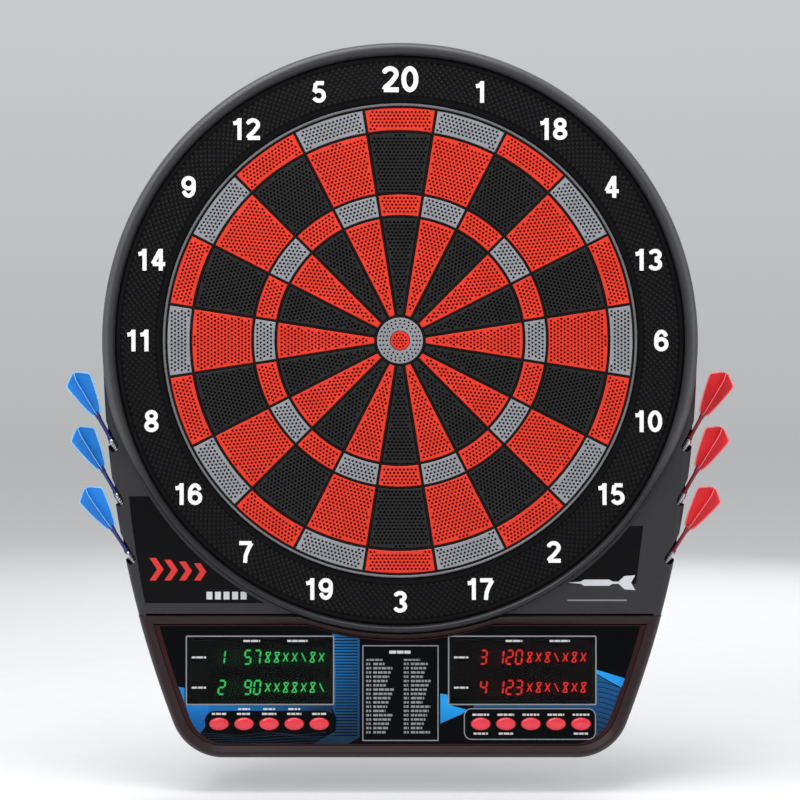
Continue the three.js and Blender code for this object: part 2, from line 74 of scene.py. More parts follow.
class Nodes:
    """A material's node tree, with a Principled shader at its end."""

    def __init__(self, name):
        self.material = bpy.data.materials.new(name)
        self.material.use_nodes = True
        self.tree = self.material.node_tree
        self.shader = self.tree.nodes["Principled BSDF"]
        self.place = self.add("ShaderNodeTexCoord").outputs["Object"]

    def add(self, kind, **values):
        node = self.tree.nodes.new(kind)
        for key, value in values.items():
            if key in node.inputs:
                node.inputs[key].default_value = value
            else:
                setattr(node, key, value)
        return node

    def link(self, out, into):
        self.tree.links.new(out, into)

    def feed(self, socket, out):
        """Gives the shader a value that varies over the surface."""
        self.link(out, self.shader.inputs[socket])

    def set(self, socket, value):
        self.shader.inputs[socket].default_value = value

    def noise(self, size_mm, detail):
        node = self.add("ShaderNodeTexNoise", Scale=1000 / size_mm, Detail=detail)
        self.link(self.place, node.inputs["Vector"])
        return node.outputs["Fac"]

    def drift(self, size_mm, detail, low=0.0, high=1.0):
        """Noise spread over a range."""
        node = self.add("ShaderNodeMapRange")
        for i, value in enumerate((0.3, 0.7, low, high)):
            node.inputs[i + 1].default_value = value
        self.link(self.noise(size_mm, detail), node.inputs[0])
        return node.outputs[0]

    def mix(self, factor, first, second):
        node = self.add("ShaderNodeMix", data_type="RGBA")
        colours = [s for s in node.inputs if s.type == "RGBA"]
        self.link(factor, node.inputs["Factor"])
        for socket, value in zip(colours, (first, second)):
            if hasattr(value, "is_linked"):
                self.link(value, socket)
            else:
                socket.default_value = value
        return [s for s in node.outputs if s.type == "RGBA"][0]

    def mottled(self, rgb, size_mm, detail, dark, light):
        """A colour that drifts between a darker and a lighter shade of itself."""
        return self.mix(self.drift(size_mm, detail), linear(rgb, dark), linear(rgb, light))

    def bump(self, *layers):
        """Each layer is a noise's size and detail, a strength, and a depth in millimetres."""
        normal = None
        for size_mm, detail, strength, depth in layers:
            node = self.add("ShaderNodeBump", Strength=strength, Distance=depth * MM)
            self.link(self.noise(size_mm, detail), node.inputs["Height"])
            if normal is not None:
                self.link(normal, node.inputs["Normal"])
            normal = node.outputs["Normal"]
        self.feed("Normal", normal)


def plastic(name, rgb, roughness=0.45, grain=0.5, depth=0.06, mottle=0.1, coat=0.0, tone=None, specular=0.5):
    """Moulded plastic or print: a grain of a size and depth in millimetres, a slow drift of colour and gloss,
    and a second colour where the mesh's tone says."""
    n = Nodes(name)
    base = n.mottled(rgb, 35, 3, 1 - mottle, 1 + mottle)
    if tone:
        attribute = n.add("ShaderNodeAttribute", attribute_name="tone")
        base = n.mix(attribute.outputs["Fac"], base, linear(tone))
    n.feed("Base Color", base)
    n.feed("Roughness", n.drift(18, 4, roughness - 0.06, roughness + 0.06))
    n.bump((grain, 3, 0.35, depth), (24, 2, 0.1, 0.15))
    n.set("Coat Weight", coat)
    n.set("Coat Roughness", 0.08)
    n.set("Specular IOR Level", specular)
    return n.material


def metal(name, rgb, roughness):
    """Metal with fine wear."""
    n = Nodes(name)
    n.feed("Base Color", n.mottled(rgb, 6, 5, 0.82, 1.05))
    n.feed("Roughness", n.drift(2, 4, roughness - 0.08, roughness + 0.1))
    n.bump((0.6, 3, 0.25, 0.04))
    n.set("Metallic", 1.0)
    return n.material


def glowing(name, rgb, strength):
    """A lit display segment, with a slightly uneven face."""
    n = Nodes(name)
    n.feed("Base Color", n.mottled(rgb, 1.2, 2, 0.8, 1.1))
    n.feed("Emission Color", n.mottled(rgb, 1.2, 2, 0.75, 1.1))
    n.set("Emission Strength", strength)
    n.set("Roughness", 0.5)
    return n.material


def smoked(name):
    """A dark lens that lets some light through."""
    n = Nodes(name)
    n.feed("Base Color", n.mix(n.drift(30, 3), linear((6, 6, 7)), linear((12, 12, 13))))
    n.feed("Roughness", n.drift(12, 3, 0.1, 0.16))
    n.set("Alpha", 0.32)
    n.set("Specular IOR Level", 0.12)
    return n.material


# After its name and colour, a finish's numbers are roughness, grain size, grain depth and mottling.
HOUSING = plastic("housing_grey", (43, 43, 46), 0.42, 0.7, 0.05, 0.06, specular=0.35)
# The rim's dark second colour is painted shade, laid on by make_rim's tones.
RIM_GREY_AND_SHADE = plastic("rim_grey_and_shade", (84, 84, 87), 0.36, 0.7, 0.04, 0.06, specular=0.35, tone=(34, 34, 36))
FRAME_GREY = plastic("frame_grey", (43, 28, 30), 0.4, 0.7, 0.04, 0.06, specular=0.25, tone=(54, 51, 53))
REAR = plastic("rear_charcoal", (44, 44, 47), 0.55, 0.9, 0.09)
# The number ring's second colour is a painted highlight on the peaks of its pyramids and the crests of its
# bands.
RING_BLACK_AND_HIGHLIGHT = plastic("ring_black", (4, 4, 5), specular=0.08, tone=(28, 28, 30))
# A pale grey that paints the highlight along the number ring's inner bevel.
RING_LIP_HIGHLIGHT = plastic("ring_lip_highlight", (104, 104, 108), 0.35)
SPIDER_BLACK = plastic("spider_black", (8, 8, 9), specular=0.2)
SEGMENT_RED = plastic("segment_red", (214, 46, 22), 0.45, 0.6, 0.05, 0.07, specular=0.35)
SEGMENT_BLACK = plastic("segment_black", (19, 19, 21), 0.45, 0.6, 0.05, 0.08, specular=0.35)
SEGMENT_GREY = plastic("segment_grey", (135, 137, 142), 0.42, 0.6, 0.05, 0.07)
NUMERAL = plastic("numeral_white", (238, 238, 236), 0.4, 0.6, 0.03, 0.03)
GLOSS_BLACK = plastic("gloss_black", (7, 7, 9), 0.3, 2.0, 0.01, specular=0.12)
PANEL_BLACK = plastic("panel_black", (3, 4, 6), 0.3, 2.0, 0.01, specular=0.06)
PRINT_WHITE = plastic("print_white", (196, 198, 200), 0.4, 1.0, 0.01, 0.05)
PRINT_GREY = plastic("print_grey", (128, 130, 134), 0.4, 1.0, 0.01, 0.06)
PRINT_RED = plastic("print_red", (206, 40, 34), 0.35, 1.0, 0.01, 0.12)
PRINT_BLUE = plastic("print_blue", (2, 82, 150), 0.3, 1.0, 0.01, 0.2, specular=0.2, tone=(24, 148, 226))
PRINT_NAVY = plastic("print_navy", (4, 36, 60), 0.3, 1.0, 0.01, 0.3, specular=0.2, tone=(2, 104, 172))
PRINT_WINE = plastic("print_wine", (44, 10, 15), 0.35, 1.0, 0.01, 0.2, specular=0.2)
BUTTON_RED = plastic("button_red", (220, 46, 62), 0.3, 1.5, 0.01, 0.06, coat=0.3)
LED_BODY = plastic("led_body", (10, 11, 11), 0.5, specular=0.2)
LED_FACE = {
    "left": plastic("led_face_green", (2, 10, 5), 0.5, specular=0.1, tone=(5, 40, 18)),
    "right": plastic("led_face_red", (10, 3, 3), 0.5, specular=0.1, tone=(42, 7, 8)),
}
UNLIT = {
    "left": plastic("green_unlit", (10, 52, 24), 0.5, specular=0.1),
    "right": plastic("red_unlit", (58, 12, 12), 0.5, specular=0.1),
}
LIT = {"left": glowing("green_lit", (58, 204, 100), 1.5), "right": glowing("red_lit", (226, 40, 34), 1.5)}
SMOKED = smoked("smoked_window")
STEEL = metal("barrel_steel", (206, 207, 210), 0.24)
SCREW = metal("screw_black", (58, 58, 62), 0.38)
TIP = plastic("tip_black", (22, 22, 24), 0.4)
FLIGHT = {
    "left": plastic("flight_blue", (14, 122, 208), 0.35, 1.2, 0.02, 0.16, tone=(140, 198, 240)),
    "right": plastic("flight_red", (208, 26, 36), 0.35, 1.2, 0.02, 0.16, tone=(238, 128, 132)),
}
SHAFT = {
    "left": plastic("shaft_blue", (38, 48, 108), 0.3, 1.0, 0.02),
    "right": plastic("shaft_red", (130, 28, 44), 0.3, 1.0, 0.02),
}
FILM = plastic("film_amber", (196, 170, 110), 0.3)
CIRCUIT = plastic("circuit_green", (28, 88, 52), tone=(20, 20, 22))
BOARD = plastic("board_grey", (58, 58, 61), 0.7)
RUBBER = plastic("rubber_black", (26, 26, 27), 0.8)

# ---- Shapes ----

BENDS = [k * pi / 16 for k in range(9)]


def smoothstep(value):
    t = max(0.0, min(1.0, value))
    return t * t * (3 - 2 * t)


def at(x, z, d):
    """A point of the board in metres."""
    return (x * MM, -d * MM, z * MM)


def arc(cx, cz, radius, start, end, steps):
    """Points along an arc, both ends included."""
    turns = [start + (end - start) * i / steps for i in range(steps + 1)]
    return [(cx + radius * cos(a), cz + radius * sin(a)) for a in turns]


def circle(cx, cz, radius, steps):
    return arc(cx, cz, radius, 0, 2 * pi, steps)[:-1]


def rectangle(x0, z0, x1, z1):
    return [(x0, z0), (x1, z0), (x1, z1), (x0, z1)]


def rounded(x0, z0, x1, z1, r, steps=6):
    """A rectangle with round corners."""
    corners = [(x1 - r, z1 - r), (x0 + r, z1 - r), (x0 + r, z0 + r), (x1 - r, z0 + r)]
    return [p for i, (x, z) in enumerate(corners) for p in arc(x, z, r, i * pi / 2, (i + 1) * pi / 2, steps)]


def mirrored(points):
    return [(-x, z) for x, z in reversed(points)]


def lower_left(inset, start, side_steps, corner_steps):
    """The housing's left side from an angle down, and its bottom left corner."""
    side = arc(SIDE_X, 0, SIDE_R - inset, pi + start, pi + SIDE_SWEEP, side_steps)
    return side + arc(-CORNER_X, CORNER_Z, CORNER_R - inset, pi + SIDE_SWEEP, 1.5 * pi, corner_steps)[1:]


def outline(inset):
    """The housing's outline from the top round to the left, drawn in by inset."""
    half = arc(0, 0, HOUSING_R - inset, pi / 2, pi, 60) + lower_left(inset, 0, 24, 14)[1:]
    return half + mirrored(half[1:])


def outline_x(z, inset):
    """How far out the right side's edge is at a height below the centre."""
    return sqrt((SIDE_R - inset) ** 2 - z**2) - SIDE_X


def panel_loop(inset, top, rim_r):
    """Round the score panel: down the left side, along the foot, up the right, and back under the rim."""
    left = lower_left(inset, asin(-top / (SIDE_R - inset)), 16, 16)
    under = asin(-top / rim_r)
    return left + mirrored(left) + arc(0, 0, rim_r, -under, under - pi, 40)


def area(loops, inside=None, extra=()):
    """The points and triangles of what lies in just the loops numbered inside, or in any loop.
    extra points divide it more finely."""
    flat, ids = [], []
    for loop in loops:
        ids.append(list(range(len(flat), len(flat) + len(loop))))
        flat += loop
    vectors = [Vector(p) for p in [*flat, *extra]]
    points, _, triangles, _, _, owners = delaunay_2d_cdt(vectors, [], ids, 1, 1e-5)
    kept = [t for t, o in zip(triangles, owners) if (sorted(o) == inside if inside else o)]
    used = sorted({i for t in kept for i in t})
    place = {old: new for new, old in enumerate(used)}
    return [tuple(points[i]) for i in used], [tuple(place[i] for i in t) for t in kept]


def solid_area(flat, triangles, d0, d1):
    """A flat area given thickness, as points and faces."""
    n = len(flat)
    points = [at(x, z, d1) for x, z in flat] + [at(x, z, d0) for x, z in flat]
    edges = {(t[i], t[(i + 1) % 3]) for t in triangles for i in range(3)}
    rims = [(a, b) for a, b in edges if (b, a) not in edges]
    faces = triangles + [tuple(i + n for i in reversed(t)) for t in triangles]
    return points, faces + [(b, a, a + n, b + n) for a, b in sorted(rims)]


def plate(outer, holes, d0, d1):
    """A flat plate with holes, which may reach outside it."""
    return solid_area(*area([outer, *holes], [0]), d0, d1)


def plates(loops, d0, d1):
    return together(*[plate(loop, [], d0, d1) for loop in loops])


def loft(loops, ends="join"):
    """Quads between loops of equal length. The ends are joined to each other, capped, or left open."""
    n, rows = len(loops[0]), len(loops)
    points = [p for loop in loops for p in loop]
    faces = []
    for i in range(rows if ends == "join" else rows - 1):
        a, b = i * n, (i + 1) % rows * n
        faces += [(a + j, a + (j + 1) % n, b + (j + 1) % n, b + j) for j in range(n)]
    if ends == "cap":
        faces += [tuple(range(n))[::-1], tuple(range((rows - 1) * n, rows * n))]
    return points, faces


def stack(levels, ends="join"):
    """A loft through [flat loop, d] pairs."""
    return loft([[at(x, z, d) for x, z in loop] for loop, d in levels], ends)


def turned(profile, steps, ends="join", x=0, z=0):
    """A ring about an axis out of the wall, from [radius, d] pairs."""
    return stack([(circle(x, z, r, steps), d) for r, d in profile], ends)


def walled(profile, ends="join"):
    """A wall round the housing's outline, from [inset, d] pairs."""
    return stack([(outline(inset), d) for inset, d in profile], ends)


def lathe(profile, steps):
    """A turned part along y from [radius, y] pairs, capped."""
    return loft([[(px, y, pz) for px, pz in circle(0, 0, r, steps)] for r, y in profile], "cap")


def together(*parts):
    """Several sets of points and faces as one."""
    points, faces = [], []
    for p, f in parts:
        start = len(points)
        points += p
        faces += [tuple(i + start for i in face) for face in f]
    return points, faces


def welded(shape):
    """Points that lie on each other made one."""
    points, faces = shape
    keys, place, kept = {}, [], []
    for p in points:
        key = tuple(round(c * 1e7) for c in p)
        if key not in keys:
            keys[key] = len(kept)
            kept.append(p)
        place.append(keys[key])
    return kept, [tuple(place[i] for i in f) for f in faces]


def linked(name, data):
    obj = bpy.data.objects.new(name, data)
    bpy.context.scene.collection.objects.link(obj)
    return obj


def placed(obj, body="housing", stands_for=()):
    """Puts a piece on its body and the CAD nodes it stands for."""
    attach(obj, body)
    if stands_for:
        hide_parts(*stands_for)


def shade(mesh, degrees):
    """Round shading, but for edges sharper than an angle."""
    mesh.shade_smooth()
    mesh.set_sharp_from_angle(angle=radians(degrees))


def piece(name, shape, finish, body="housing", stands_for=(), smooth=35, tones=None, bevel=0):
    """A new object from points and faces. tones says how much of the finish's second colour a point has."""
    mesh = bpy.data.meshes.new(name)
    mesh.from_pydata(shape[0], [], shape[1])
    bm = bmesh.new()
    bm.from_mesh(mesh)
    bmesh.ops.recalc_face_normals(bm, faces=bm.faces)
    bm.to_mesh(mesh)
    bm.free()
    if tones is not None:
        mesh.attributes.new("tone", "FLOAT", "POINT").data.foreach_set("value", tones)
    mesh.materials.append(finish)
    if smooth:
        shade(mesh, smooth)
    obj = linked(name, mesh)
    if bevel:
        rounding = obj.modifiers.new("rounding", "BEVEL")
        rounding.width = bevel * MM
        rounding.segments = 2
        rounding.limit_method = "ANGLE"
        rounding.angle_limit = radians(40)
    if body:
        placed(obj, body, stands_for)
    return obj


def draft(name, shape, finish=HOUSING):
    """A piece that only helps to make others, and is removed after."""
    return piece(name, shape, finish, body=None, smooth=0)


def discard(objects):
    for obj in objects:
        bpy.data.objects.remove(obj)


def cut(obj, cutters, within=()):
    """Keeps what lies within some objects, and cuts others out of it."""
    steps = [("INTERSECT", other) for other in within] + [("DIFFERENCE", other) for other in cutters]
    for operation, other in steps:
        boolean = obj.modifiers.new("cut", "BOOLEAN")
        boolean.operation, boolean.solver, boolean.object = operation, "EXACT", other
    bpy.context.view_layer.update()
    graph = bpy.context.evaluated_depsgraph_get()
    obj.data = bpy.data.meshes.new_from_object(obj.evaluated_get(graph))
    obj.modifiers.clear()
    shade(obj.data, 35)


# ---- Target ----

HOLE_PITCH, HOLE_R, BULL_HOLE_R, CHAMFER = 3.3, 1.05, 0.85, 0.45
ROW_STEP = 0.866


def sector_cell(r0, r1, draw, steps):
    """One band of the sector at the top, with its sides drawn in from the sector's edges."""
    half0, half1 = (SECTOR / 2 - asin(draw / r) for r in (r0, r1))
    top = arc(0, 0, r1, pi / 2 - half1, pi / 2 + half1, steps)
    return top + arc(0, 0, r0, pi / 2 + half0, pi / 2 - half0, steps)


def hole_places(r0, r1, margin):
    """A honeycomb of hole centres inside a band of the top sector, clear of its edges by margin."""
    row = HOLE_PITCH * ROW_STEP
    rows = int((r1 - r0) / row) + 1
    places = []
    for i in range(-rows, rows + 1):
        z = (r0 + r1) / 2 + i * row
        for k in range(-16, 17):
            x = (k + 0.5 * (i % 2)) * HOLE_PITCH
            r = hypot(x, z)
            side = r * sin(SECTOR / 2 - abs(atan2(x, z)))
            if z > 0 and r0 + margin < r < r1 - margin and side > margin:
                places.append((x, z))
    return places


def pierced(face, places, hole_r, bores=()):
    """A front face with blind holes in it, and openings for bores."""
    holes = [circle(x, z, hole_r, 8) for x, z in places]
    flat, triangles = area([face, *bores, *holes], [0])
    parts = [([at(x, z, SEGMENT_D) for x, z in flat], triangles)]
    for hole in holes:
        floor = [at(x, z, HOLE_FLOOR_D) for x, z in hole]
        parts += [stack([(hole, SEGMENT_D), (hole, HOLE_FLOOR_D)], "open"), (floor, [tuple(range(8))])]
    return together(*parts)


def block(outer, face, places, hole_r, d_back):
    """A chamfered block with blind holes in its front."""
    walls = stack([(face, SEGMENT_D), (outer, SEGMENT_D - CHAMFER), (outer, d_back)], "open")
    back = [at(x, z, d_back) for x, z in outer], [tuple(range(len(outer)))[::-1]]
    return together(pierced(face, places, hole_r), walls, back)


def segment_shape(r0, r1):
    draw = WEB / 2 + GAP
    outer = sector_cell(r0 + draw, r1 - draw, draw, 10)
    face = sector_cell(r0 + draw + CHAMFER, r1 - draw - CHAMFER, draw + CHAMFER, 10)
    places = hole_places(r0, r1, draw + CHAMFER + HOLE_R + 0.45)
    return welded(block(outer, face, places, HOLE_R, 25.5))


SINGLES = {True: (SEGMENT_BLACK, "segment_black"), False: (SEGMENT_RED, "segment_red")}
SCORING = {True: (SEGMENT_RED, "segment_red"), False: (SEGMENT_GREY, "bull_grey")}
BAND_FINISHES = {"inner": SINGLES, "triple": SCORING, "outer": SINGLES, "double": SCORING}


def copy_of(pattern, name, turn, body, stands_for=()):
    """Another object with the same mesh, turned about the bull's axis."""
    twin = linked(name, pattern.data)
    twin.matrix_world = Matrix.Rotation(turn, 4, "Y")
    placed(twin, body, stands_for)


def make_target():
    """Eighty segments, all copies of eight patterns, each number's four on one carrier."""
    patterns = {}
    for band, r0, r1 in zip(BAND_NAMES, RINGS, RINGS[1:]):
        shape = segment_shape(r0, r1)
        for dark, (finish, _) in BAND_FINISHES[band].items():
            patterns[band, dark] = draft(f"pattern_{band}_{dark}", shape, finish)
    carrier = plate(sector_cell(RINGS[0] + 1.6, RINGS[4] - 0.5, GAP, 10), [], CARRIER_D0, CARRIER_D1)
    carrier = draft("pattern_carrier", carrier, SEGMENT_BLACK)
    for i, number in enumerate(NUMBERS):
        body, dark, turn = f"segments_{number}", i % 2 == 0, i * SECTOR
        for band in BAND_NAMES:
            stands_for = (body,) if band == "outer" else ()
            copy_of(patterns[band, dark], f"segment_{number}_{band}", turn, body, stands_for)
        copy_of(carrier, f"segment_{number}_carrier", turn, body)
    discard([*patterns.values(), carrier])


def make_bulls():
    outer_r, bore_r, foot_r, foot_bore_r = RINGS[0] - WEB / 2 - GAP, BULL_R + GAP, 21.2, 10.4
    outer, face, foot = (circle(0, 0, r, 64) for r in (outer_r, outer_r - CHAMFER, foot_r))
    bore_mouth, bore, foot_bore = (circle(0, 0, r, 48) for r in (bore_r + CHAMFER, bore_r, foot_bore_r))
    places = [p for r, n in ((11.4, 18), (14.3, 24), (17.0, 28)) for p in circle(0, 0, r, n)]
    back, back_faces = area([foot, foot_bore], [0])
    chamfer_d = SEGMENT_D - CHAMFER
    shape = together(
        pierced(face, places, BULL_HOLE_R, [bore_mouth]),
        stack([(face, SEGMENT_D), (outer, chamfer_d), (outer, CARRIER_D1), (foot, CARRIER_D1),
               (foot, CARRIER_D0)], "open"),
        stack([(bore_mouth, SEGMENT_D), (bore, chamfer_d), (bore, 27.6), (foot_bore, 27.6),
               (foot_bore, CARRIER_D0)], "open"),
        ([at(x, z, CARRIER_D0) for x, z in back], back_faces),
    )
    piece("bull_outer", welded(shape), SEGMENT_GREY, "outer_bull", ("outer_bull",), smooth=25)
    places = [(0, 0)] + [p for r, n in ((2.7, 6), (5.4, 12)) for p in circle(0, 0, r, n)]
    core, face = (circle(0, 0, r, 48) for r in (BULL_R, BULL_R - CHAMFER))
    foot = turned([(10, CARRIER_D0), (10, CARRIER_D1)], 48, "cap")
    shape = together(block(core, face, places, BULL_HOLE_R, CARRIER_D1), foot)
    piece("bull_inner", welded(shape), SEGMENT_RED, "inner_bull", ("inner_bull",), smooth=25)


def make_spider():
    cells = []
    for i in range(20):
        c, s = cos(i * SECTOR), sin(i * SECTOR)
        for r0, r1 in zip(RINGS, RINGS[1:]):
            cell = sector_cell(r0 + WEB / 2, r1 - WEB / 2, WEB / 2, 8)
            cells.append([(x * c + z * s, z * c - x * s) for x, z in cell])
    bull = circle(0, 0, RINGS[0] - WEB / 2, 64)
    web = plate(circle(0, 0, RINGS[4] + 2, 180), [bull, *cells], 27, SPIDER_D)
    piece("spider_web", web, SPIDER_BLACK, stands_for=("spider",), smooth=40, bevel=0.3)
    flange = turned([(RINGS[4] + 1.5, 26.6), (245, 26.6), (245, 28.4), (RINGS[4] + 1.5, 28.4)], 120)
    piece("spider_flange", flange, SPIDER_BLACK)


def pyramids(r_in, r_out, rows, steps, low, high):
    """A band of small four-sided pyramids, with each point's height as its tone, which paints a highlight on
    the peaks.
    """
    points, faces, tones = [], [], []
    for k in range(rows + 1):
        for i, (x, z) in enumerate(circle(0, 0, r_in + k * (r_out - r_in) / rows, steps)):
            peak = (i + k) % 2 if 0 < k < rows else 0
            points.append(at(x, z, high if peak else low))
            tones.append(1.0 * peak)
    for k in range(rows):
        for i in range(steps):
            j = (i + 1) % steps
            a, b, c, d = k * steps + i, k * steps + j, (k + 1) * steps + j, (k + 1) * steps + i
            # The dividing edge joins the two low corners.
            faces += [(a, b, c), (a, c, d)] if (i + k) % 2 == 0 else [(a, b, d), (b, c, d)]
    return (points, faces), tones


def make_catch_ring():
    """The number ring: small pyramids between two plain bands, with painted highlight on the peaks and
    crests, and a pale lip inside that is a painted highlight on its inner bevel.
    """
    steps, r_in, r_out = 540, 204.6, 235.4
    inner_edge = [(203.6, 38.4), (202.2, 29), (199.8, 29), (199.8, 40.0), (200.4, 40.6), (202.6, 40.9),
                  (r_in, RING_D)]
    outer_edge = [(r_out, RING_D), (236.0, 41.2), (237.6, 41.2), (239.3, 40.4), (239.4, 36.8), (232, 36.8),
                  (231, 38.4), (203.6, 38.4)]
    relief, tones = pyramids(r_in, r_out, 12, steps, RING_D, 41.7)
    parts = [relief]
    for edge in (inner_edge, outer_edge):
        parts.append(turned(edge, steps, "open"))
        # Painted highlight: the crests of the plain bands are a little lighter.
        tones += [0.3 if d > 40.8 else 0.0 for _, d in edge for _ in range(steps)]
    ring = together(*parts)
    piece("number_ring", ring, RING_BLACK_AND_HIGHLIGHT, stands_for=("catch_ring",), smooth=12, tones=tones)
    # The pale lip is a painted highlight along the ring's inner bevel.
    lip = [(197.6, 39.3), (197.6, 40.5), (198.2, 41.1), (199.0, 41.1), (199.5, 40.5), (199.5, 39.3)]
    piece("number_ring_lip", turned(lip, 240), RING_LIP_HIGHLIGHT)


FIGURE_W, STROKE = 0.66, 0.185
NUMERAL_R = 219.6


def bend(cx, cz, rx, rz, start, end, steps=14):
    """Points along an elliptical arc, with its angles in degrees."""
    return [(cx + rx * x, cz + rz * z) for x, z in arc(0, 0, 1, radians(start), radians(end), steps)]


def figure_paths(figure_name):
    """The middle lines of a plain bold figure, one unit tall and centred on x = 0."""
    e = STROKE / 2
    w = FIGURE_W / 2 - e
    low, high = 0.285, 0.73
    bowl, cap = low - e, 1 - e - high
    return {
        "0": [bend(0, 0.5, w, 0.5 - e, 0, 360, 32)],
        "1": [[(0.08, 0), (0.08, 1)], [(-0.2, 0.765), (-0.03, 0.79), (0.05, 0.9)]],
        "2": [bend(0, 0.7, w, 0.3 - e, 165, -35) + [(0.02, 0.36), (-0.17, 0.2), (-w, e)],
              [(-w, e), (w + e, e)]],
        "3": [bend(0, high, w * 0.92, cap, 160, -90), bend(0, low, w, bowl, 90, -160)],
        "4": [[(0.13, 0), (0.13, 1)], [(0.1, 0.94), (-w, 0.31)], [(-w, 0.3), (w + e, 0.3)]],
        "5": [[(w * 0.9, 1 - e), (-0.16, 1 - e)], [(-0.16, 1 - e), (-0.22, 0.5)],
              [(-0.22, 0.5), *bend(-0.02, 0.33, w, 0.33 - e, 115, -155)]],
        "6": [bend(0, 0.33, w, 0.33 - e, 0, 360, 32),
              [(-w, 0.33), (-w, 0.52), *bend(0, 0.55, w, 0.45 - e, 175, 25)]],
        "7": [[(-w - e, 1 - e), (w, 1 - e)], [(w, 1 - e), (0.07, 0.6), (-0.03, 0.34), (-0.06, 0)]],
        "8": [bend(0, high + 0.01, w * 0.86, cap + 0.01, 0, 360, 28), bend(0, low, w, bowl, 0, 360, 30)],
        "9": [bend(0, 0.67, w, 0.33 - e, 0, 360, 32),
              [(w, 0.67), (w, 0.48), *bend(0, 0.45, w, 0.45 - e, -5, -155)]],
    }[figure_name]


def stroked(path, width):
    """Four-cornered and round patches along a path, which together make its stroke."""
    patches = []
    for start, end in zip(path, path[1:]):
        a, b = Vector(start), Vector(end)
        along = (b - a).normalized() * width / 2
        side = Vector((-along.y, along.x))
        patches.append([tuple(p) for p in (a - side, b - side, b + side, a + side)])
    return patches + [circle(x, z, width / 2, 16) for x, z in path[1:-1]]


def make_numerals():
    """White raised figures, upright all the way round."""
    for i, number in enumerate(NUMBERS):
        turn = pi / 2 - i * SECTOR
        height = 21.8 if number == 20 else 18.2
        x, z = NUMERAL_R * cos(turn), NUMERAL_R * sin(turn)
        figures = str(number)
        advance = [0.60 if c == "1" else 0.76 for c in figures]
        left = -sum(advance) / 2
        patches = []
        for c, step in zip(figures, advance):
            middle = left + step / 2 + (-0.02 if c == "1" else 0)
            for path in figure_paths(c):
                line = [(x + (px + middle) * height, z + (pz - 0.5) * height) for px, pz in path]
                patches += stroked(line, STROKE * height)
            left += step
        shape = solid_area(*area(patches), RING_D, RING_D + 1.2)
        piece(f"numeral_{number}", shape, NUMERAL, smooth=30)


# ---- Housing ----

# Each dart's x and z on the left, its lean in degrees, and its distance from the wall.
DARTS = [(-241, -90, 29, 30), (-236.9, -135.6, 30, 27), (-226.6, -184.8, 33, 30)]
SLOT_R, BORE_R, SLEEVE_R, SLEEVE_END = 4.3, 4.1, 6.4, -45
SHOULDER_R = 7


def each_dart():
    """The side and number of each dart, and the matrix from its own frame, with y along it and z out from the
    wall, in millimetres, to the board's in metres."""
    for side, sign in (("left", 1), ("right", -1)):
        for i, (x, z, lean, d) in enumerate(DARTS, 1):
            a = radians(lean) * sign
            along, out = Vector((-sin(a), 0, cos(a))), Vector((0, -1, 0))
            turn = Matrix((along.cross(out), along, out)).transposed().to_4x4()
            yield side, i, Matrix.Translation(at(sign * x, z, d)) @ turn @ Matrix.Scale(MM, 4)


def slot_cutters():
    """Long slots, round at their inner ends, that the barrels lie in, and the bores behind them."""
    loop = [(-SLOT_R, 40), *arc(0, 0.5, SLOT_R, pi, 2 * pi, 12), (SLOT_R, 40)]
    slot = loft([[(px, py, pz) for px, py in loop] for pz in (-SLOT_R, 30)], "cap")
    bore = lathe([(BORE_R, -50), (BORE_R, 8)], 16)
    cutters = {}
    for side, i, matrix in each_dart():
        cutters[side, i] = [draft(f"cutter_slot_{side}_{i}", slot), draft(f"cutter_bore_{side}_{i}", bore)]
        for cutter in cutters[side, i]:
            cutter.matrix_world = matrix
    bpy.context.view_layer.update()
    return cutters


def make_sleeves(cutters):
    """The round sleeves that the barrels go into, flush with the housing's edge, as part of its side."""
    rounding = [(7.3 * (1 - cos(t)) + 0.3, 31.7 + 7 * sin(t)) for t in BENDS]
    core = draft("cutter_core", walled([(0.3, 20.6), *rounding], "cap"))
    for side, i, matrix in each_dart():
        sleeve = draft(f"dart_sleeve_{side}_{i}", lathe([(SLEEVE_R, SLEEVE_END), (SLEEVE_R, 26)], 32))
        sleeve.matrix_world = matrix
        bpy.context.view_layer.update()
        sleeve.data.transform(sleeve.matrix_world)
        sleeve.matrix_world = Matrix.Identity(4)
        cut(sleeve, cutters[side, i], within=[core])
        placed(sleeve)
    discard([core])


def make_rim():
    """The half-round rim: broad round the top, and a narrow ridge where it meets the shoulders."""
    steps = 300
    angles = [2 * pi * i / steps for i in range(steps)]
    rows = ["foot", *[k * pi / 12 for k in range(13)], "inner"]
    loops, tones = [], []
    for row in rows:
        loop = []
        for a in angles:
            narrow = smoothstep((-HOUSING_R * sin(a) - 50) / 90)
            out_r = 250.7 - 4.6 * narrow
            mid, half = (out_r + RIM_IN_R) / 2, (out_r - RIM_IN_R) / 2
            if row == "foot":
                r, d, inner_shade = out_r, 33.8, 0.0
            elif row == "inner":
                r, d, inner_shade = RIM_IN_R, 36.4, 1.0
            else:
                r, d = mid + half * cos(row), 39.0 + (6.8 - 1.4 * narrow) * sin(row)
                inner_shade = smoothstep((row - 1.2) / 0.8)
            loop.append(at(r * cos(a), r * sin(a), d))
            # Painted shade: darker along the narrow lower ridge, on the inner slope and over the lower half,
            # as light from above would leave it.
            tones.append(max(narrow, 0.8 * inner_shade, 0.45 * smoothstep(-sin(a) * 1.6)))
        loops.append(loop)
    piece("housing_rim", loft(loops), RIM_GREY_AND_SHADE, smooth=60, tones=tones)


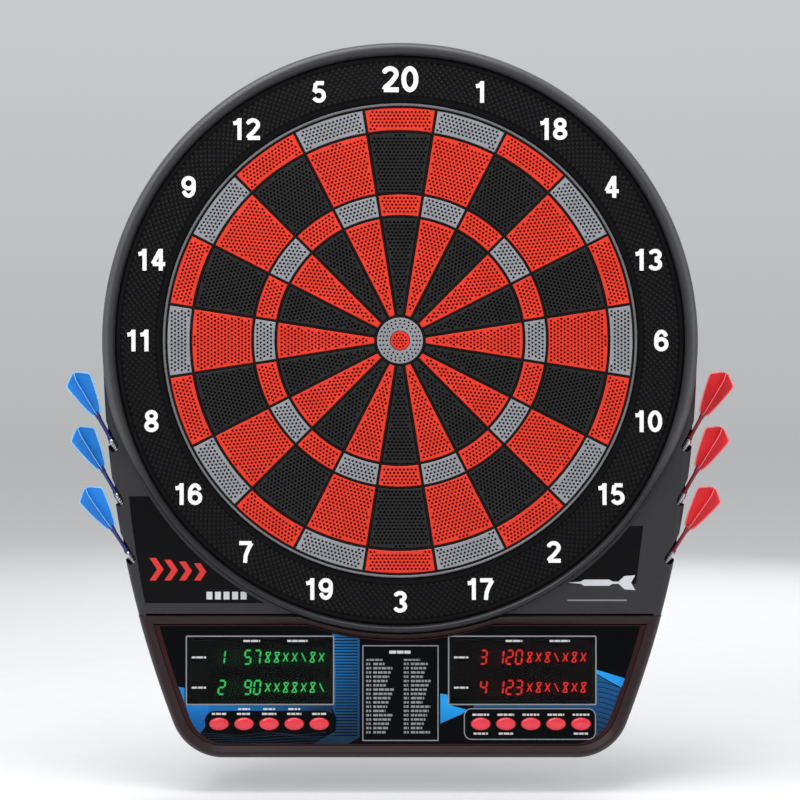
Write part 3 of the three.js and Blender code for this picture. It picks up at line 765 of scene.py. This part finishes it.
def recesses():
    """The sunk panels on the shoulders, left and right, each bounded on its inside by the rim."""
    left = [(-outline_x(z, 13 - (130 + z) / -91 * 4.5), z) for z in (-131, -154, -177, -200, -221)]
    left += arc(0, 0, RECESS_R, pi + asin(221 / RECESS_R), pi + asin(131 / RECESS_R), 16)
    right = [(198.8, -205), (201.8, -180), (204.8, -156)]
    right += arc(0, 0, RECESS_R, -asin(156 / RECESS_R), -asin(205 / RECESS_R), 14)
    return {"left": left, "right": right}


def make_housing():
    rounding = [(SHOULDER_R * (1 - cos(t)), SHOULDER_D - SHOULDER_R + SHOULDER_R * sin(t)) for t in BENDS]
    wall = walled([(0, SEAM_D), *rounding, (SHOULDER_R, SHOULDER_BACK_D), (2.8, 32), (2.8, SEAM_D)])
    side = piece("housing_side", wall, HOUSING, body=None)
    below = rectangle(-300, -400, 300, SEAM_Z + 1.6)
    holes = [circle(0, 0, 245.4, 180), below, *recesses().values()]
    top = plate(outline(SHOULDER_R), holes, SHOULDER_BACK_D, SHOULDER_D)
    shoulders = piece("housing_shoulders", top, HOUSING, body=None)
    cutters = slot_cutters()
    every_cutter = [c for pair in cutters.values() for c in pair]
    for obj in (side, shoulders):
        cut(obj, every_cutter)
        placed(obj)
    make_sleeves(cutters)
    discard(every_cutter)
    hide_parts("front_bezel")
    for name, loop in recesses().items():
        piece(f"recess_{name}", plate(loop, [], SHOULDER_BACK_D - 0.2, RECESS_D), GLOSS_BLACK)
    make_marks()
    ledge = turned([(239.0, 33.6), (239.0, 36.0), (247, 36.0), (247, 33.6)], 180)
    piece("housing_ledge", ledge, HOUSING)
    make_rim()


def make_marks():
    """Plain decoration on the side panels: chevrons and a bar on the left, a dart's shape on the right."""
    d0, d1 = RECESS_D - 0.3, RECESS_D + 0.12
    thick, lean = 5.5, 0.34
    chevrons = []
    for k in range(4):
        x, z, h = -211 + 12.5 * k, -202, 19 - 1.5 * k
        chevrons.append([(x, z), (x + thick, z), (x + thick + h * lean, z + h / 2), (x + thick, z + h),
                         (x, z + h), (x + h * lean, z + h / 2)])
    piece("mark_chevrons", plates(chevrons, d0, d1), PRINT_RED, smooth=0)
    bars = [rectangle(-163 + 7.2 * k, -218, -158 + 7.2 * k, -211.5) for k in range(5)]
    piece("mark_bars", plates(bars, d0, d1), PRINT_WHITE, smooth=0)
    middle = -203.8
    above = [(198, -197.6), (189, -198.2), (184, -202.9), (179, -202.9), (176, -201.2), (155, -201.2),
             (152, -202.9), (141, middle)]
    dart = above + [(x, 2 * middle - z) for x, z in reversed(above[:-1])] + [(194.5, middle)]
    piece("mark_dart", plate(dart, [], d0, SHOULDER_D + 0.15), PRINT_WHITE, smooth=0)
    line = plate(rounded(141, -219.2, 191, -218.0, 0.5), [], SHOULDER_D - 0.4, SHOULDER_D + 0.14)
    piece("mark_line", line, PRINT_GREY, smooth=0)


def make_panel_frame():
    """The raised frame round the score panel, which slopes down to the panel inside it."""
    rim_r, foot_d = 246.2, 34.5
    profile = [(0.0, SEAM_Z, rim_r, 33.0), (0.0, SEAM_Z, rim_r, foot_d)]
    for k in range(1, 8):
        t, step = k * radians(10), 0.15 * k
        profile.append((7 * (1 - cos(t)), SEAM_Z - step, rim_r + step, foot_d + 7 * sin(t) - 0.02 * k))
    profile += [(5.3, -233.2, 247.9, 41.0), (6.0, -233.9, 248.4, 40.6), (10.4, -238.6, 251.3, 38.3),
                (10.6, -238.9, 251.5, 37.4), (10.6, -238.9, 251.5, 35.8), (6.0, -236, 249, 33.0)]
    levels, tones = [], []
    for inset, top, r, d in profile:
        levels.append((panel_loop(inset, top, r), d))
        tones += [1.0 - smoothstep((inset - 1.0) / 4.0)] * len(levels[-1][0])
    piece("panel_frame", stack(levels), FRAME_GREY, smooth=40, tones=tones)


# ---- Score panel ----

BUTTON_Z, BUTTON_RX, BUTTON_RZ, BUTTON_STEP = -322.7, 8.2, 5.2, 21.1
BUTTON_X = {side: [x + BUTTON_STEP * i for i in range(5)] for side, x in (("left", -152.4), ("right", 68.0))}
WINDOWS = {"left": (-178.9, -56.9), "right": (42.0, 164.0)}
WINDOW_Z = (-305.4, -250.0)
PRINT_STEP, ART_GRID = 0.07, 5


def oval(x, z, rx, rz, steps=40):
    return [(x + px * rx, z + pz * rz) for px, pz in circle(0, 0, 1, steps)]


def printed(name, loops, finish, level=1):
    """Thin raised print on the score panel, from [loop, holes] pairs. Each level lies on the one before."""
    d0, d1 = PANEL_D - 0.3, PANEL_D + PRINT_STEP * level
    shapes = [plate(outer, holes, d0, d1) for outer, holes in loops]
    piece(name, together(*shapes), finish, smooth=0)


def framed(x0, z0, x1, z1, line, r=0.01):
    """A thin rectangular line."""
    inner = rounded(x0 + line, z0 + line, x1 - line, z1 - line, max(0.01, r - line))
    return rounded(x0, z0, x1, z1, r), [inner]


def panel_holes():
    rx, rz = BUTTON_RX + GAP, BUTTON_RZ + GAP
    z0, z1 = WINDOW_Z[0] - GAP, WINDOW_Z[1] + GAP
    holes = [oval(x, BUTTON_Z, rx, rz) for xs in BUTTON_X.values() for x in xs]
    return holes + [rectangle(x0 - GAP, z0, x1 + GAP, z1) for x0, x1 in WINDOWS.values()]


def greeked(x, z, width, height, seed, word=2.2, space=0.7):
    """A line of small blocks that stands for a line of print."""
    blocks, left = [], x
    k = seed
    while left < x + width - 0.5:
        k = (k * 37 + 11) % 101
        w = min(word * (0.6 + 0.8 * k / 101), x + width - left)
        blocks.append((rectangle(left, z, left + w, z + height), []))
        left += w + space
    return blocks


def wavy_band(x0, x1, z, amplitude, length, rise):
    """A thin wavy strip, which rises by rise along its length."""
    thick, steps = 0.5, 48
    lower = []
    for i in range(steps + 1):
        run = (x1 - x0) * i / steps
        lower.append((x0 + run, z + rise * i / steps + amplitude * sin(2 * pi * run / length)))
    return lower + [(x, y + thick) for x, y in reversed(lower)], []


def printed_art(name, loop, finish, tone_of, level=1):
    """Print that fills a shape as far as the panel, its windows and its buttons allow, with a tone that
    drifts. The shape's points run anticlockwise."""
    xs, zs = [x for x, _ in loop], [z for _, z in loop]
    columns, rows = (int((max(v) - min(v)) / ART_GRID) + 1 for v in (xs, zs))
    grid = [(min(xs) + ART_GRID * i, min(zs) + ART_GRID * k) for i in range(columns) for k in range(rows)]
    flat, triangles = area([loop, panel_loop(12.0, -240.2, 253.2), *panel_holes()], [0, 1], grid)
    shape = [at(x, z, PANEL_D + PRINT_STEP * level) for x, z in flat], triangles
    obj = piece(name, shape, finish, smooth=0, tones=[tone_of(x, z) for x, z in flat])
    thick = obj.modifiers.new("thickness", "SOLIDIFY")
    thick.thickness, thick.offset = 0.3 * MM, -1


def make_panel():
    edge = panel_loop(10.9, -239.4, 251.9)
    panel = plate(edge, panel_holes(), PANEL_BACK_D, PANEL_D)
    piece("score_panel", panel, PANEL_BLACK, stands_for=("fascia",), smooth=30)
    z0, z1 = WINDOW_Z
    for side, (x0, x1) in WINDOWS.items():
        lens = plate(rounded(x0, z0, x1, z1, 1.2), [], PANEL_BACK_D, PANEL_D)
        stands_for = (f"score_window_{side}",)
        piece(f"window_{side}", lens, SMOKED, stands_for=stands_for, bevel=0.25)
        line = framed(x0 - 1.6, z0 - 1.6, x1 + 1.6, z1 + 1.6, 1.1, 1.4)
        printed(f"print_window_line_{side}", [line], PRINT_GREY, 3)
    make_artwork()
    make_games_table()
    make_button_fields()


def make_artwork():
    """A dark red border, and blue print: a patch and a strip at the left, a lined band beside the left
    window, and swooshes at the right."""
    border = panel_loop(11.0, -239.5, 252.0)
    inner = [(x * 0.978, z + (0.9 if z < -290 else -0.9)) for x, z in border]
    printed("print_border", [(border, [inner])], PRINT_WINE, 3)
    patch = [(-198.5, -289.5), (-205, -300), (-180, -345), (-166.8, -329), (-161, -321), (-159, -306.9),
             (-181.4, -306.9), (-181.4, -292.5)]
    printed_art("print_patch_left", patch, PRINT_BLUE, lambda x, z: 0.55 * smoothstep((z + 330) / 38))
    strip = [(-159, -306.9), (-161, -316), (-57.4, -316), (-57.4, -306.9)]
    printed_art("print_strip_left", strip, PRINT_NAVY, lambda x, z: 0.9 * smoothstep((-60 - x) / 90))
    band = [(-57.0, -245.5), (-57.0, -310), (-53.5, -318), (-54.5, -329), (-76, -341.5), (-47, -341.5),
            (-34.0, -334), (-34.0, -244.5)]
    printed_art("print_band_left", band, PRINT_NAVY,
                lambda x, z: smoothstep((z + 345) / 90) * (0.9 - 0.5 * (x + 57) / 24))
    rungs = []
    for k in range(34):
        z, bow = -250.4 - 2.5 * k, 1.4 * sin(k / 34 * pi)
        rungs.append((rectangle(-55.6 + bow, z, -36.0 + bow * 0.5, z + 0.75), []))
    printed("print_rungs_left", rungs, PANEL_BLACK, 2)
    waves = []
    for k in range(5):
        waves.append(wavy_band(-176 + 3 * k, -62 + 2 * k, -332.2 - 1.9 * k, 0.9 - 0.1 * k, 52 + 6 * k, 1.2))
    printed("print_waves_left", waves, PRINT_NAVY, 2)
    middle = [(34.0, -297.2), (34.0, -322.5), (51.1, -315.0), (57.5, -311.2), (41, -306.8), (40.0, -298.2)]
    printed_art("print_swoosh_middle", middle, PRINT_BLUE,
                lambda x, z: 0.5 + 0.5 * smoothstep((z + 325) / 20))
    shadow = [(165.6, -281.5), (165.6, -306.9), (62, -306.9), (62, -312), (161, -313), (165.6, -342),
              (190, -342), (201, -299), (196.5, -298.2), (181, -290)]
    printed_art("print_shade_right", shadow, PRINT_NAVY, lambda x, z: 0.45 * smoothstep((z + 345) / 60))
    stripes = [wavy_band(166.4, 196 - 1.4 * k, -287.5 - 4.2 * k, 0.6, 30, -7) for k in range(11)]
    printed("print_stripes_right", stripes, PANEL_BLACK, 2)
    swoosh = [(165.6, -277.2), (165.6, -280.6), (181, -289.2), (199, -299), (203, -288.5)]
    printed_art("print_swoosh_right", swoosh, PRINT_BLUE,
                lambda x, z: 1.0 - 0.5 * smoothstep((x - 170) / 30), 2)


def make_games_table():
    x0, x1, z0, z1 = -31.7, 32.5, -337.2, -256.5
    column_w, indent = 25, 6
    printed("print_table_ground", [(rectangle(x0, z0, x1, z1), [])], PANEL_BLACK, 2)
    printed("print_table_line", [framed(x0, z0, x1, z1, 0.9)], PRINT_GREY, 3)
    printed("print_table_title", greeked(-9, -263.6, 19, 2.6, 5, word=4.2), PRINT_WHITE, 4)
    lines = []
    for column, left in enumerate((-28.5, 3.2)):
        lines += greeked(left, -269.6, column_w * 0.55, 1.5, 3 + column, word=3.0)
        for row in range(17):
            z = -273.2 - 3.6 * row
            share = 0.5 + 0.42 * ((row * 53 + 17 * column) % 29) / 29
            lines += greeked(left, z, 4.2, 1.9, row * 7 + column, word=2.0)
            width = (column_w - indent) * share
            lines += greeked(left + indent, z, width, 1.9, row * 5 + column + 2, word=3.2)
    printed("print_table_lines", lines, PRINT_GREY, 4)


def make_button_fields():
    """A dark field round each row of buttons, with a line round the right one, and the buttons' labels."""
    holes = panel_holes()
    field = rounded(-164.5, -329.8, -54.6, -311.8, 8.9, 10)
    printed("print_field_left", [(field, holes)], PANEL_BLACK, 2)
    field = rounded(53.8, -336.2, 165, -309.6, 6.5, 8)
    line = rounded(54.6, -335.4, 164.2, -310.4, 5.7, 8)
    printed("print_field_right", [(line, holes)], PANEL_BLACK, 2)
    printed("print_field_line_right", [(field, [line])], PRINT_GREY, 3)
    labels = []
    # For each side: a line over every button, then a second line at some of them. Each line is half its
    # width, its height on the panel, the height of its print, and its first seed.
    for side, over, second, some in (
        ("left", (6, -315.2, 1.7, 3), (5, -311.0, 1.5, 13), (1, 2, 3)),
        ("right", (7, -315.9, 1.7, 23), (6, -331.8, 1.7, 33), (0, 1, 4)),
    ):
        for k, x in enumerate(BUTTON_X[side]):
            for half, z, height, seed in (over, second) if k in some else (over,):
                labels += greeked(x - half, z, 2 * half, height, seed + k, word=3.4)
    printed("print_button_labels", labels, PRINT_WHITE, 4)


def make_buttons():
    """Oval caps with domed tops, each on its flange, with the stem behind."""
    levels = [(9.5, 6.5, 34.2), (9.5, 6.5, 35.4), (BUTTON_RX, BUTTON_RZ, 35.4), (BUTTON_RX, BUTTON_RZ, 39.6),
              (7.95, 4.95, 40.1), (7.3, 4.35, 40.5), (5.6, 3.2, 40.85), (3.4, 1.9, 41.0), (1.2, 0.7, 41.05)]
    for side, xs in BUTTON_X.items():
        for i, x in enumerate(xs, 1):
            cap = stack([(oval(x, BUTTON_Z, rx, rz, 32), d) for rx, rz, d in levels], "cap")
            stem = turned([(3, 33.2), (3, 34.4)], 16, "cap", x, BUTTON_Z)
            body = f"button_{side}_{i}"
            shape = together(cap, stem)
            piece(f"cap_{side}_{i}", shape, BUTTON_RED, body, (body,), smooth=40)


# ---- Displays ----

# A seven-segment figure: which bars are lit, from a at the top, round to f, and g across the middle.
FIGURES = {"0": "abcdef", "1": "bc", "2": "abged", "3": "abgcd", "4": "fgbc", "5": "afgcd", "7": "abc",
           "9": "abcdfg", " ": ""}
BARS = {"a": ((0, 2), (1, 2)), "b": ((1, 2), (1, 1)), "c": ((1, 1), (1, 0)), "d": ((0, 0), (1, 0)),
        "e": ((0, 1), (0, 0)), "f": ((0, 2), (0, 1)), "g": ((0, 1), (1, 1))}
DOWN, UP = ((0, 2), (1, 0)), ((1, 2), (0, 0))
STAR = {"\\": [DOWN], "x": [DOWN, UP], "8": [DOWN, UP, BARS["a"], BARS["d"]]}
SLANT = 0.1


def bar(start, end, width):
    """A six-cornered bar between two points, a little short of each."""
    a, b = Vector(start), Vector(end)
    along = (b - a).normalized()
    side = Vector((-along.y, along.x)) * width / 2
    a, b = a + along * 0.22 * width, b - along * 0.22 * width
    near, far = a + along * width / 2, b - along * width / 2
    return [tuple(p) for p in (a, near - side, far - side, b, far + side, near + side)]


def figure(x, z, width, height, strokes, stroke_width):
    """Bars of one figure, whose middle is at x and z."""
    loops = []
    for stroke in strokes:
        ends = []
        for u, v in stroke:
            dz = (v / 2 - 0.5) * height
            ends.append((x + (u - 0.5) * width + SLANT * dz, z + dz))
        loops.append(bar(*ends, stroke_width))
    return loops


def make_display_face(side, rows):
    """The front of a display, tinted round its figures by their light."""
    (x0, x1), (z0, z1) = WINDOWS[side], WINDOW_Z
    columns, lines, edge = 46, 20, 2.3
    flat = []
    for k in range(lines + 1):
        z = z0 + edge + (z1 - z0 - 2 * edge) * k / lines
        flat += [(x0 + edge + (x1 - x0 - 2 * edge) * i / columns, z) for i in range(columns + 1)]
    corners = [k * (columns + 1) + i for k in range(lines) for i in range(columns)]
    triangles = [(a, a + 1, a + columns + 2) for a in corners]
    triangles += [(a, a + columns + 2, a + columns + 1) for a in corners]
    tones = []
    for x, z in flat:
        near = max(1 - smoothstep((abs(z - row[0]) - 4) / 6) for row in rows)
        tones.append(near * smoothstep((x - x0 - 18) / 10))
    shape = solid_area(flat, triangles, DISPLAY_D, DISPLAY_D + 0.22)
    piece(f"display_face_{side}", shape, LED_FACE[side], smooth=0, tones=tones * 2)


def make_display(side, rows):
    """rows are [height, player figure, score, marks]."""
    (x0, x1), (z0, z1) = WINDOWS[side], WINDOW_Z
    on, off = [], []
    for z, player, score, marks in rows:
        for x, c in [(x0 + 28.5, player), *[(x0 + 42.6 + 7.9 * k, c) for k, c in enumerate(score)]]:
            for key, stroke in BARS.items():
                (on if key in FIGURES[c] else off).extend(figure(x, z, 5.0, 11.4, [stroke], 1.5))
        for k, c in enumerate(marks):
            x = x0 + 67.4 + 7.55 * k
            on += figure(x, z, 4.6, 8.0, STAR[c], 1.05)
            off += figure(x, z, 4.6, 8.0, [s for s in STAR["8"] if s not in STAR[c]], 1.05)
    lit, unlit = plates(on, DISPLAY_D, DISPLAY_D + 0.42), plates(off, DISPLAY_D, DISPLAY_D + 0.3)
    piece(f"figures_lit_{side}", lit, LIT[side], smooth=0)
    piece(f"figures_unlit_{side}", unlit, UNLIT[side], smooth=0)
    body = plate(rounded(x0 + 2, z0 + 2, x1 - 2, z1 - 2, 1.5), [], 29.8, DISPLAY_D + 0.2)
    stands_for = (f"led_display_{side}",)
    piece(f"display_{side}", body, LED_BODY, stands_for=stands_for, bevel=0.3)
    make_display_face(side, rows)
    labels = [(3.5, row[0] - 0.6, 12, 1.6) for row in rows] + [(47, -253.8, 14, 1.7), (84, -253.8, 17, 1.7)]
    words = []
    for k, (x, z, width, height) in enumerate(labels):
        words += greeked(x0 + x, z, width, height, 41 + k, word=4.4)
    printed(f"print_display_labels_{side}", words, PRINT_WHITE)


# ---- Darts ----

# Half of a flight's outline, as distances along the dart from the mouth and half widths.
FLIGHT_EDGE = [(31, 2.2), (31.8, 3.6), (33.4, 4.7), (36, 5.6), (43, 7.5), (50, 9.1), (57, 10.6), (61, 11.3),
               (64, 11.65), (65.6, 11.3), (68.5, 7.6), (71, 4.2), (72, 2.4)]
TIP_EDGE = [(0.15, -65.8), (0.5, -64.5), (0.85, -52), (1.15, -46), (1.7, -45), (1.7, -42), (2.2, -41),
            (2.2, -38.3)]
SHAFT_EDGE = [(1.5, 7.4), (2.4, 7.6), (2.4, 9.4), (1.75, 10.6), (1.6, 18), (1.7, 27), (2.2, 29.4), (2.2, 33),
              (1.6, 34.2)]


def blades():
    """The flight's two crossed blades, each with a pale raised border, and the tone of each point."""
    half_thick, raised, border = 0.18, 0.06, 1.0
    inner = []
    for k, (t, w) in enumerate(FLIGHT_EDGE):
        shift = 0.8 if k < 4 else -0.5 if k > 7 else 0.2
        inner.append((t + border * shift, max(0.4, w - border)))
    front = [(half_thick, inner, 0.0), (half_thick + raised, inner, 1.0), (half_thick, FLIGHT_EDGE, 1.0)]
    loops, tones = [], []
    for d, edge, tone in front + [(-d, edge, tone) for d, edge, tone in reversed(front)]:
        loops.append([(w, t, d) for t, w in edge] + [(-w, t, d) for t, w in reversed(edge)])
        tones += [tone] * len(loops[-1])
    points, faces = loft(loops, "cap")
    return together((points, faces), ([(-z, y, x) for x, y, z in points], faces)), tones * 2


def knurled():
    """The barrel: plain ends and a middle with shallow grooves."""
    r, groove_r = 3.3, 3.02
    profile = [(0.9, -38.4), (2.3, -38.2), (3.05, -36.6), (r, -35.2)]
    y = -34.0
    while y < 3.0:
        profile += [(r, y), (groove_r, y + 0.35), (groove_r, y + 0.95), (r, y + 1.3)]
        y += 2.1
    return profile + [(r, 5.2), (3.15, 6.6), (2.5, 7.5), (1.0, 7.6)]


def make_darts():
    for side, i, matrix in each_dart():
        body = f"dart_{side}_{i}"
        dyed = f"flight_{'blue' if side == 'left' else 'red'}"
        flight, tones = blades()
        for kind, shape, finish, slot, stands_for, smooth, tone in (
            ("barrel", lathe(knurled(), 28), STEEL, "dart_metal", (body,), 30, None),
            ("tip", lathe(TIP_EDGE, 20), TIP, "dart_metal", (), 30, None),
            ("shaft", lathe(SHAFT_EDGE, 24), SHAFT[side], dyed, (), 30, None),
            ("flight", flight, FLIGHT[side], dyed, (f"flight_{side}_{i}",), 0, tones),
        ):
            obj = piece(f"{kind}_{side}_{i}", shape, finish, body=None, smooth=smooth, tones=tone)
            obj.data.transform(matrix)
            placed(obj, body, stands_for)


# ---- Rear and inside ----

SKIN_D, REAR_PLATE_D = 1.0, 2.5
KEYHOLE_X, KEYHOLE_Z, KEYHOLE_RISE, ENTRY_R, SHANK_R = 165, 88, 14, 5.2, 2.6
WELL_R, POST_R = 3.2, 5
JACK_R, JACK_X, JACK_D = 4.3, 140, 10.5
GRILLE_Z, GRILLE_R = -300, 22


def keyhole(x):
    start = asin(SHANK_R / ENTRY_R)
    entry = arc(x, KEYHOLE_Z, ENTRY_R, pi / 2 + start, 2.5 * pi - start, 24)
    return entry + arc(x, KEYHOLE_Z + KEYHOLE_RISE, SHANK_R, 0, pi, 12)


def post_places():
    ring = arc(0, 0, 240, radians(22.5), radians(382.5), 8)[:-1]
    return ring + [(-185.5, -309), (185.5, -309), (0, -343)]


def make_rear_side():
    """The rear cover's edge, with the way in to the power socket, and the lip behind the parting seam."""
    profile = [(5.2, REAR_PLATE_D), (5.2, 0), (4.6, 0.15), (3.9, 0.6), (3.3, 1.3), (3.0, 2.2), (3.0, 20),
               (5.6, 20), (5.6, REAR_PLATE_D)]
    side = piece("rear_side", walled(profile), REAR, stands_for=("rear_cover",), smooth=40)
    cutter = draft("cutter_jack", turned([(JACK_R, -6), (JACK_R, 6)], 24, "cap"), REAR)
    cutter.matrix_world = Matrix.Translation(at(JACK_X, -347.5, JACK_D)) @ Matrix.Rotation(pi / 2, 4, "X")
    cut(side, [cutter])
    discard([cutter])
    piece("seam_lip", walled([(3.4, 19.6), (3.4, 21.4), (5.2, 21.4), (5.2, 19.6)]), REAR)


def make_rear_plate():
    """The back: keyholes, the speaker's grille, screw wells, shallow ring grooves and a blank label."""
    through = [keyhole(-KEYHOLE_X), keyhole(KEYHOLE_X)]
    for x in range(-18, 19, 6):
        half = sqrt(GRILLE_R**2 - x**2)
        through.append(rounded(x - 1.5, GRILLE_Z - half, x + 1.5, GRILLE_Z + half, 1.49))
    through += [circle(x, z, WELL_R, 20) for x, z in post_places()]
    shallow = []
    for r0 in (60, 118, 176):
        for k in range(8):
            a, b = k * pi / 4 + 0.06, (k + 1) * pi / 4 - 0.06
            shallow.append(arc(0, 0, r0 + 2.4, a, b, 16) + arc(0, 0, r0, b, a, 16))
    shallow.append(rounded(-46, -226, 46, -196, 3))
    piece("rear_skin", plate(outline(5.2), through + shallow, 0, SKIN_D), REAR, smooth=30)
    piece("rear_plate", plate(outline(5.3), through, SKIN_D, REAR_PLATE_D), REAR, smooth=30)
    label = plate(rounded(-44.5, -224.5, 44.5, -197.5, 2.5), [], SKIN_D - 0.2, SKIN_D + 0.2)
    piece("blank_label", label, PRINT_GREY, smooth=0)


def make_screws():
    """The case screws at the bottom of their wells."""
    screw = [(1.5, 12), (2.9, 12), (2.9, 9.6), (2.4, 9.0), (1.2, 9.0)]
    arm = [(0.35, 1.3), (0.35, 0.35), (1.3, 0.35)]
    cross = arm + [(x, -z) for x, z in reversed(arm)]
    cross += [(-x, -z) for x, z in cross]
    screws = []
    for x, z in post_places():
        slot = [(x + px, z + pz) for px, pz in reversed(cross)]
        screws += [turned(screw, 20, "open", x, z), plate(circle(x, z, 2.2, 20), [slot], 8.9, 9.4)]
    piece("case_screws", together(*screws), SCREW, smooth=30)


def make_pockets():
    """The closed pocket behind each keyhole, where the wall screw's head goes."""
    for side, x in (("left", -KEYHOLE_X), ("right", KEYHOLE_X)):
        outer, room = rectangle(x - 7, 81, x + 7, 109), rectangle(x - 5.6, 82.4, x + 5.6, 107.6)
        lid = plate(rectangle(x - 6.8, 81.2, x + 6.8, 108.8), [], 8.3, 9.7)
        piece(f"keyhole_pocket_{side}", together(plate(outer, [room], 2.4, 9.0), lid), REAR, smooth=0)


def make_posts():
    """The posts round the screws' wells."""
    post = [(WELL_R, 2.4), (WELL_R, 12), (WELL_R, 14), (POST_R, 14), (POST_R, 2.4)]
    posts = [turned(post, 20, x=x, z=z) for x, z in post_places()]
    piece("rear_posts", together(*posts), REAR, smooth=30)


# ---- Everything in place ----

make_target()
make_bulls()
make_spider()
make_catch_ring()
make_numerals()
make_housing()
make_panel_frame()
make_panel()
make_buttons()
make_display("left", [(-267.0, "1", " 57", "88xx\\8x"), (-292.5, "2", " 90", "xx88x8\\")])
make_display("right", [(-267.0, "3", "120", "8x8\\x8x"), (-292.5, "4", "123", "x8x\\8x8")])
make_darts()
make_rear_side()
make_rear_plate()
make_screws()
make_pockets()
make_posts()

for node, finish in {
    "sensor_membrane": FILM, "backing_board": BOARD, "rubber_pad": RUBBER, "button_pad": RUBBER,
    "main_board": CIRCUIT, "speaker": SCREW, "power_jack": LED_BODY,
}.items():
    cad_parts[node].data.materials.clear()
    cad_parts[node].data.materials.append(finish)

# ---- Floor, light and camera. Lengths here are in metres. ----


def softbox(name, place, aim, size, power):
    data = bpy.data.lights.new(name, "AREA")
    data.shape, data.energy = "RECTANGLE", power
    data.size, data.size_y = size
    light = linked(name, data)
    light.location = place
    light.rotation_mode = "QUATERNION"
    light.rotation_quaternion = (Vector(aim) - Vector(place)).to_track_quat("-Z", "Y")


FLOOR_HALF, FLOOR_BELOW = 14, 0.03
floor_mesh = bpy.data.meshes.new("floor")
corners = rectangle(-FLOOR_HALF, -FLOOR_HALF, FLOOR_HALF, FLOOR_HALF)
floor_mesh.from_pydata([(x, y, BOTTOM_Z * MM - FLOOR_BELOW) for x, y in corners], [], [(0, 1, 2, 3)])
floor = linked("floor", floor_mesh)
floor_mesh.materials.append(plastic("floor_pale", (226, 226, 228), 0.8, 4, 0.05, 0.01))

softbox("key", (-1.1, -1.9, 1.5), (0, 0, 0.0), (1.3, 1.3), 24)
softbox("fill", (1.9, -1.5, 0.4), (0, 0, -0.05), (1.6, 1.6), 6)
softbox("top", (-0.2, -0.55, 1.5), (0, 0, 0.1), (1.6, 0.7), 20)
softbox("back", (0.6, 1.7, 1.0), (0, 0, 0), (1.8, 1.8), 16)

world = bpy.data.worlds.new("studio")
bpy.context.scene.world = world
world.use_nodes = True
sky = world.node_tree.nodes["Background"]
sky.inputs["Color"].default_value = (0.86, 0.87, 0.88, 1)

# The sky grows brighter from the floor's edge up, and is dimmer in reflections.
nodes, link = world.node_tree.nodes, world.node_tree.links.new
direction = nodes.new("ShaderNodeSeparateXYZ")
link(nodes.new("ShaderNodeTexCoord").outputs["Generated"], direction.inputs["Vector"])
rise = nodes.new("ShaderNodeMapRange")
strength = nodes.new("ShaderNodeMapRange")
for node, values in ((rise, (-0.06, 0.3, 0.52, 0.74)), (strength, (0, 1, 0, 0.25))):
    for i, value in enumerate(values):
        node.inputs[i + 1].default_value = value
link(direction.outputs["Z"], rise.inputs["Value"])
link(nodes.new("ShaderNodeLightPath").outputs["Is Glossy Ray"], strength.inputs["Value"])
link(rise.outputs["Result"], strength.inputs["To Min"])
link(strength.outputs["Result"], sky.inputs["Strength"])
bpy.context.scene.view_settings.view_transform = "Standard"

LENS_MM, SENSOR_MM, FIELD_WIDTH, EYE_Z = 85, 36, 0.69, -0.05
camera_data = bpy.data.cameras.new("camera")
camera_data.lens, camera_data.sensor_width = LENS_MM, SENSOR_MM
camera = linked("camera", camera_data)
camera.location = (0, -FIELD_WIDTH / (SENSOR_MM / LENS_MM), EYE_Z)
camera.rotation_euler = (pi / 2, 0, 0)
bpy.context.scene.camera = camera

bpy.context.view_layer.update()
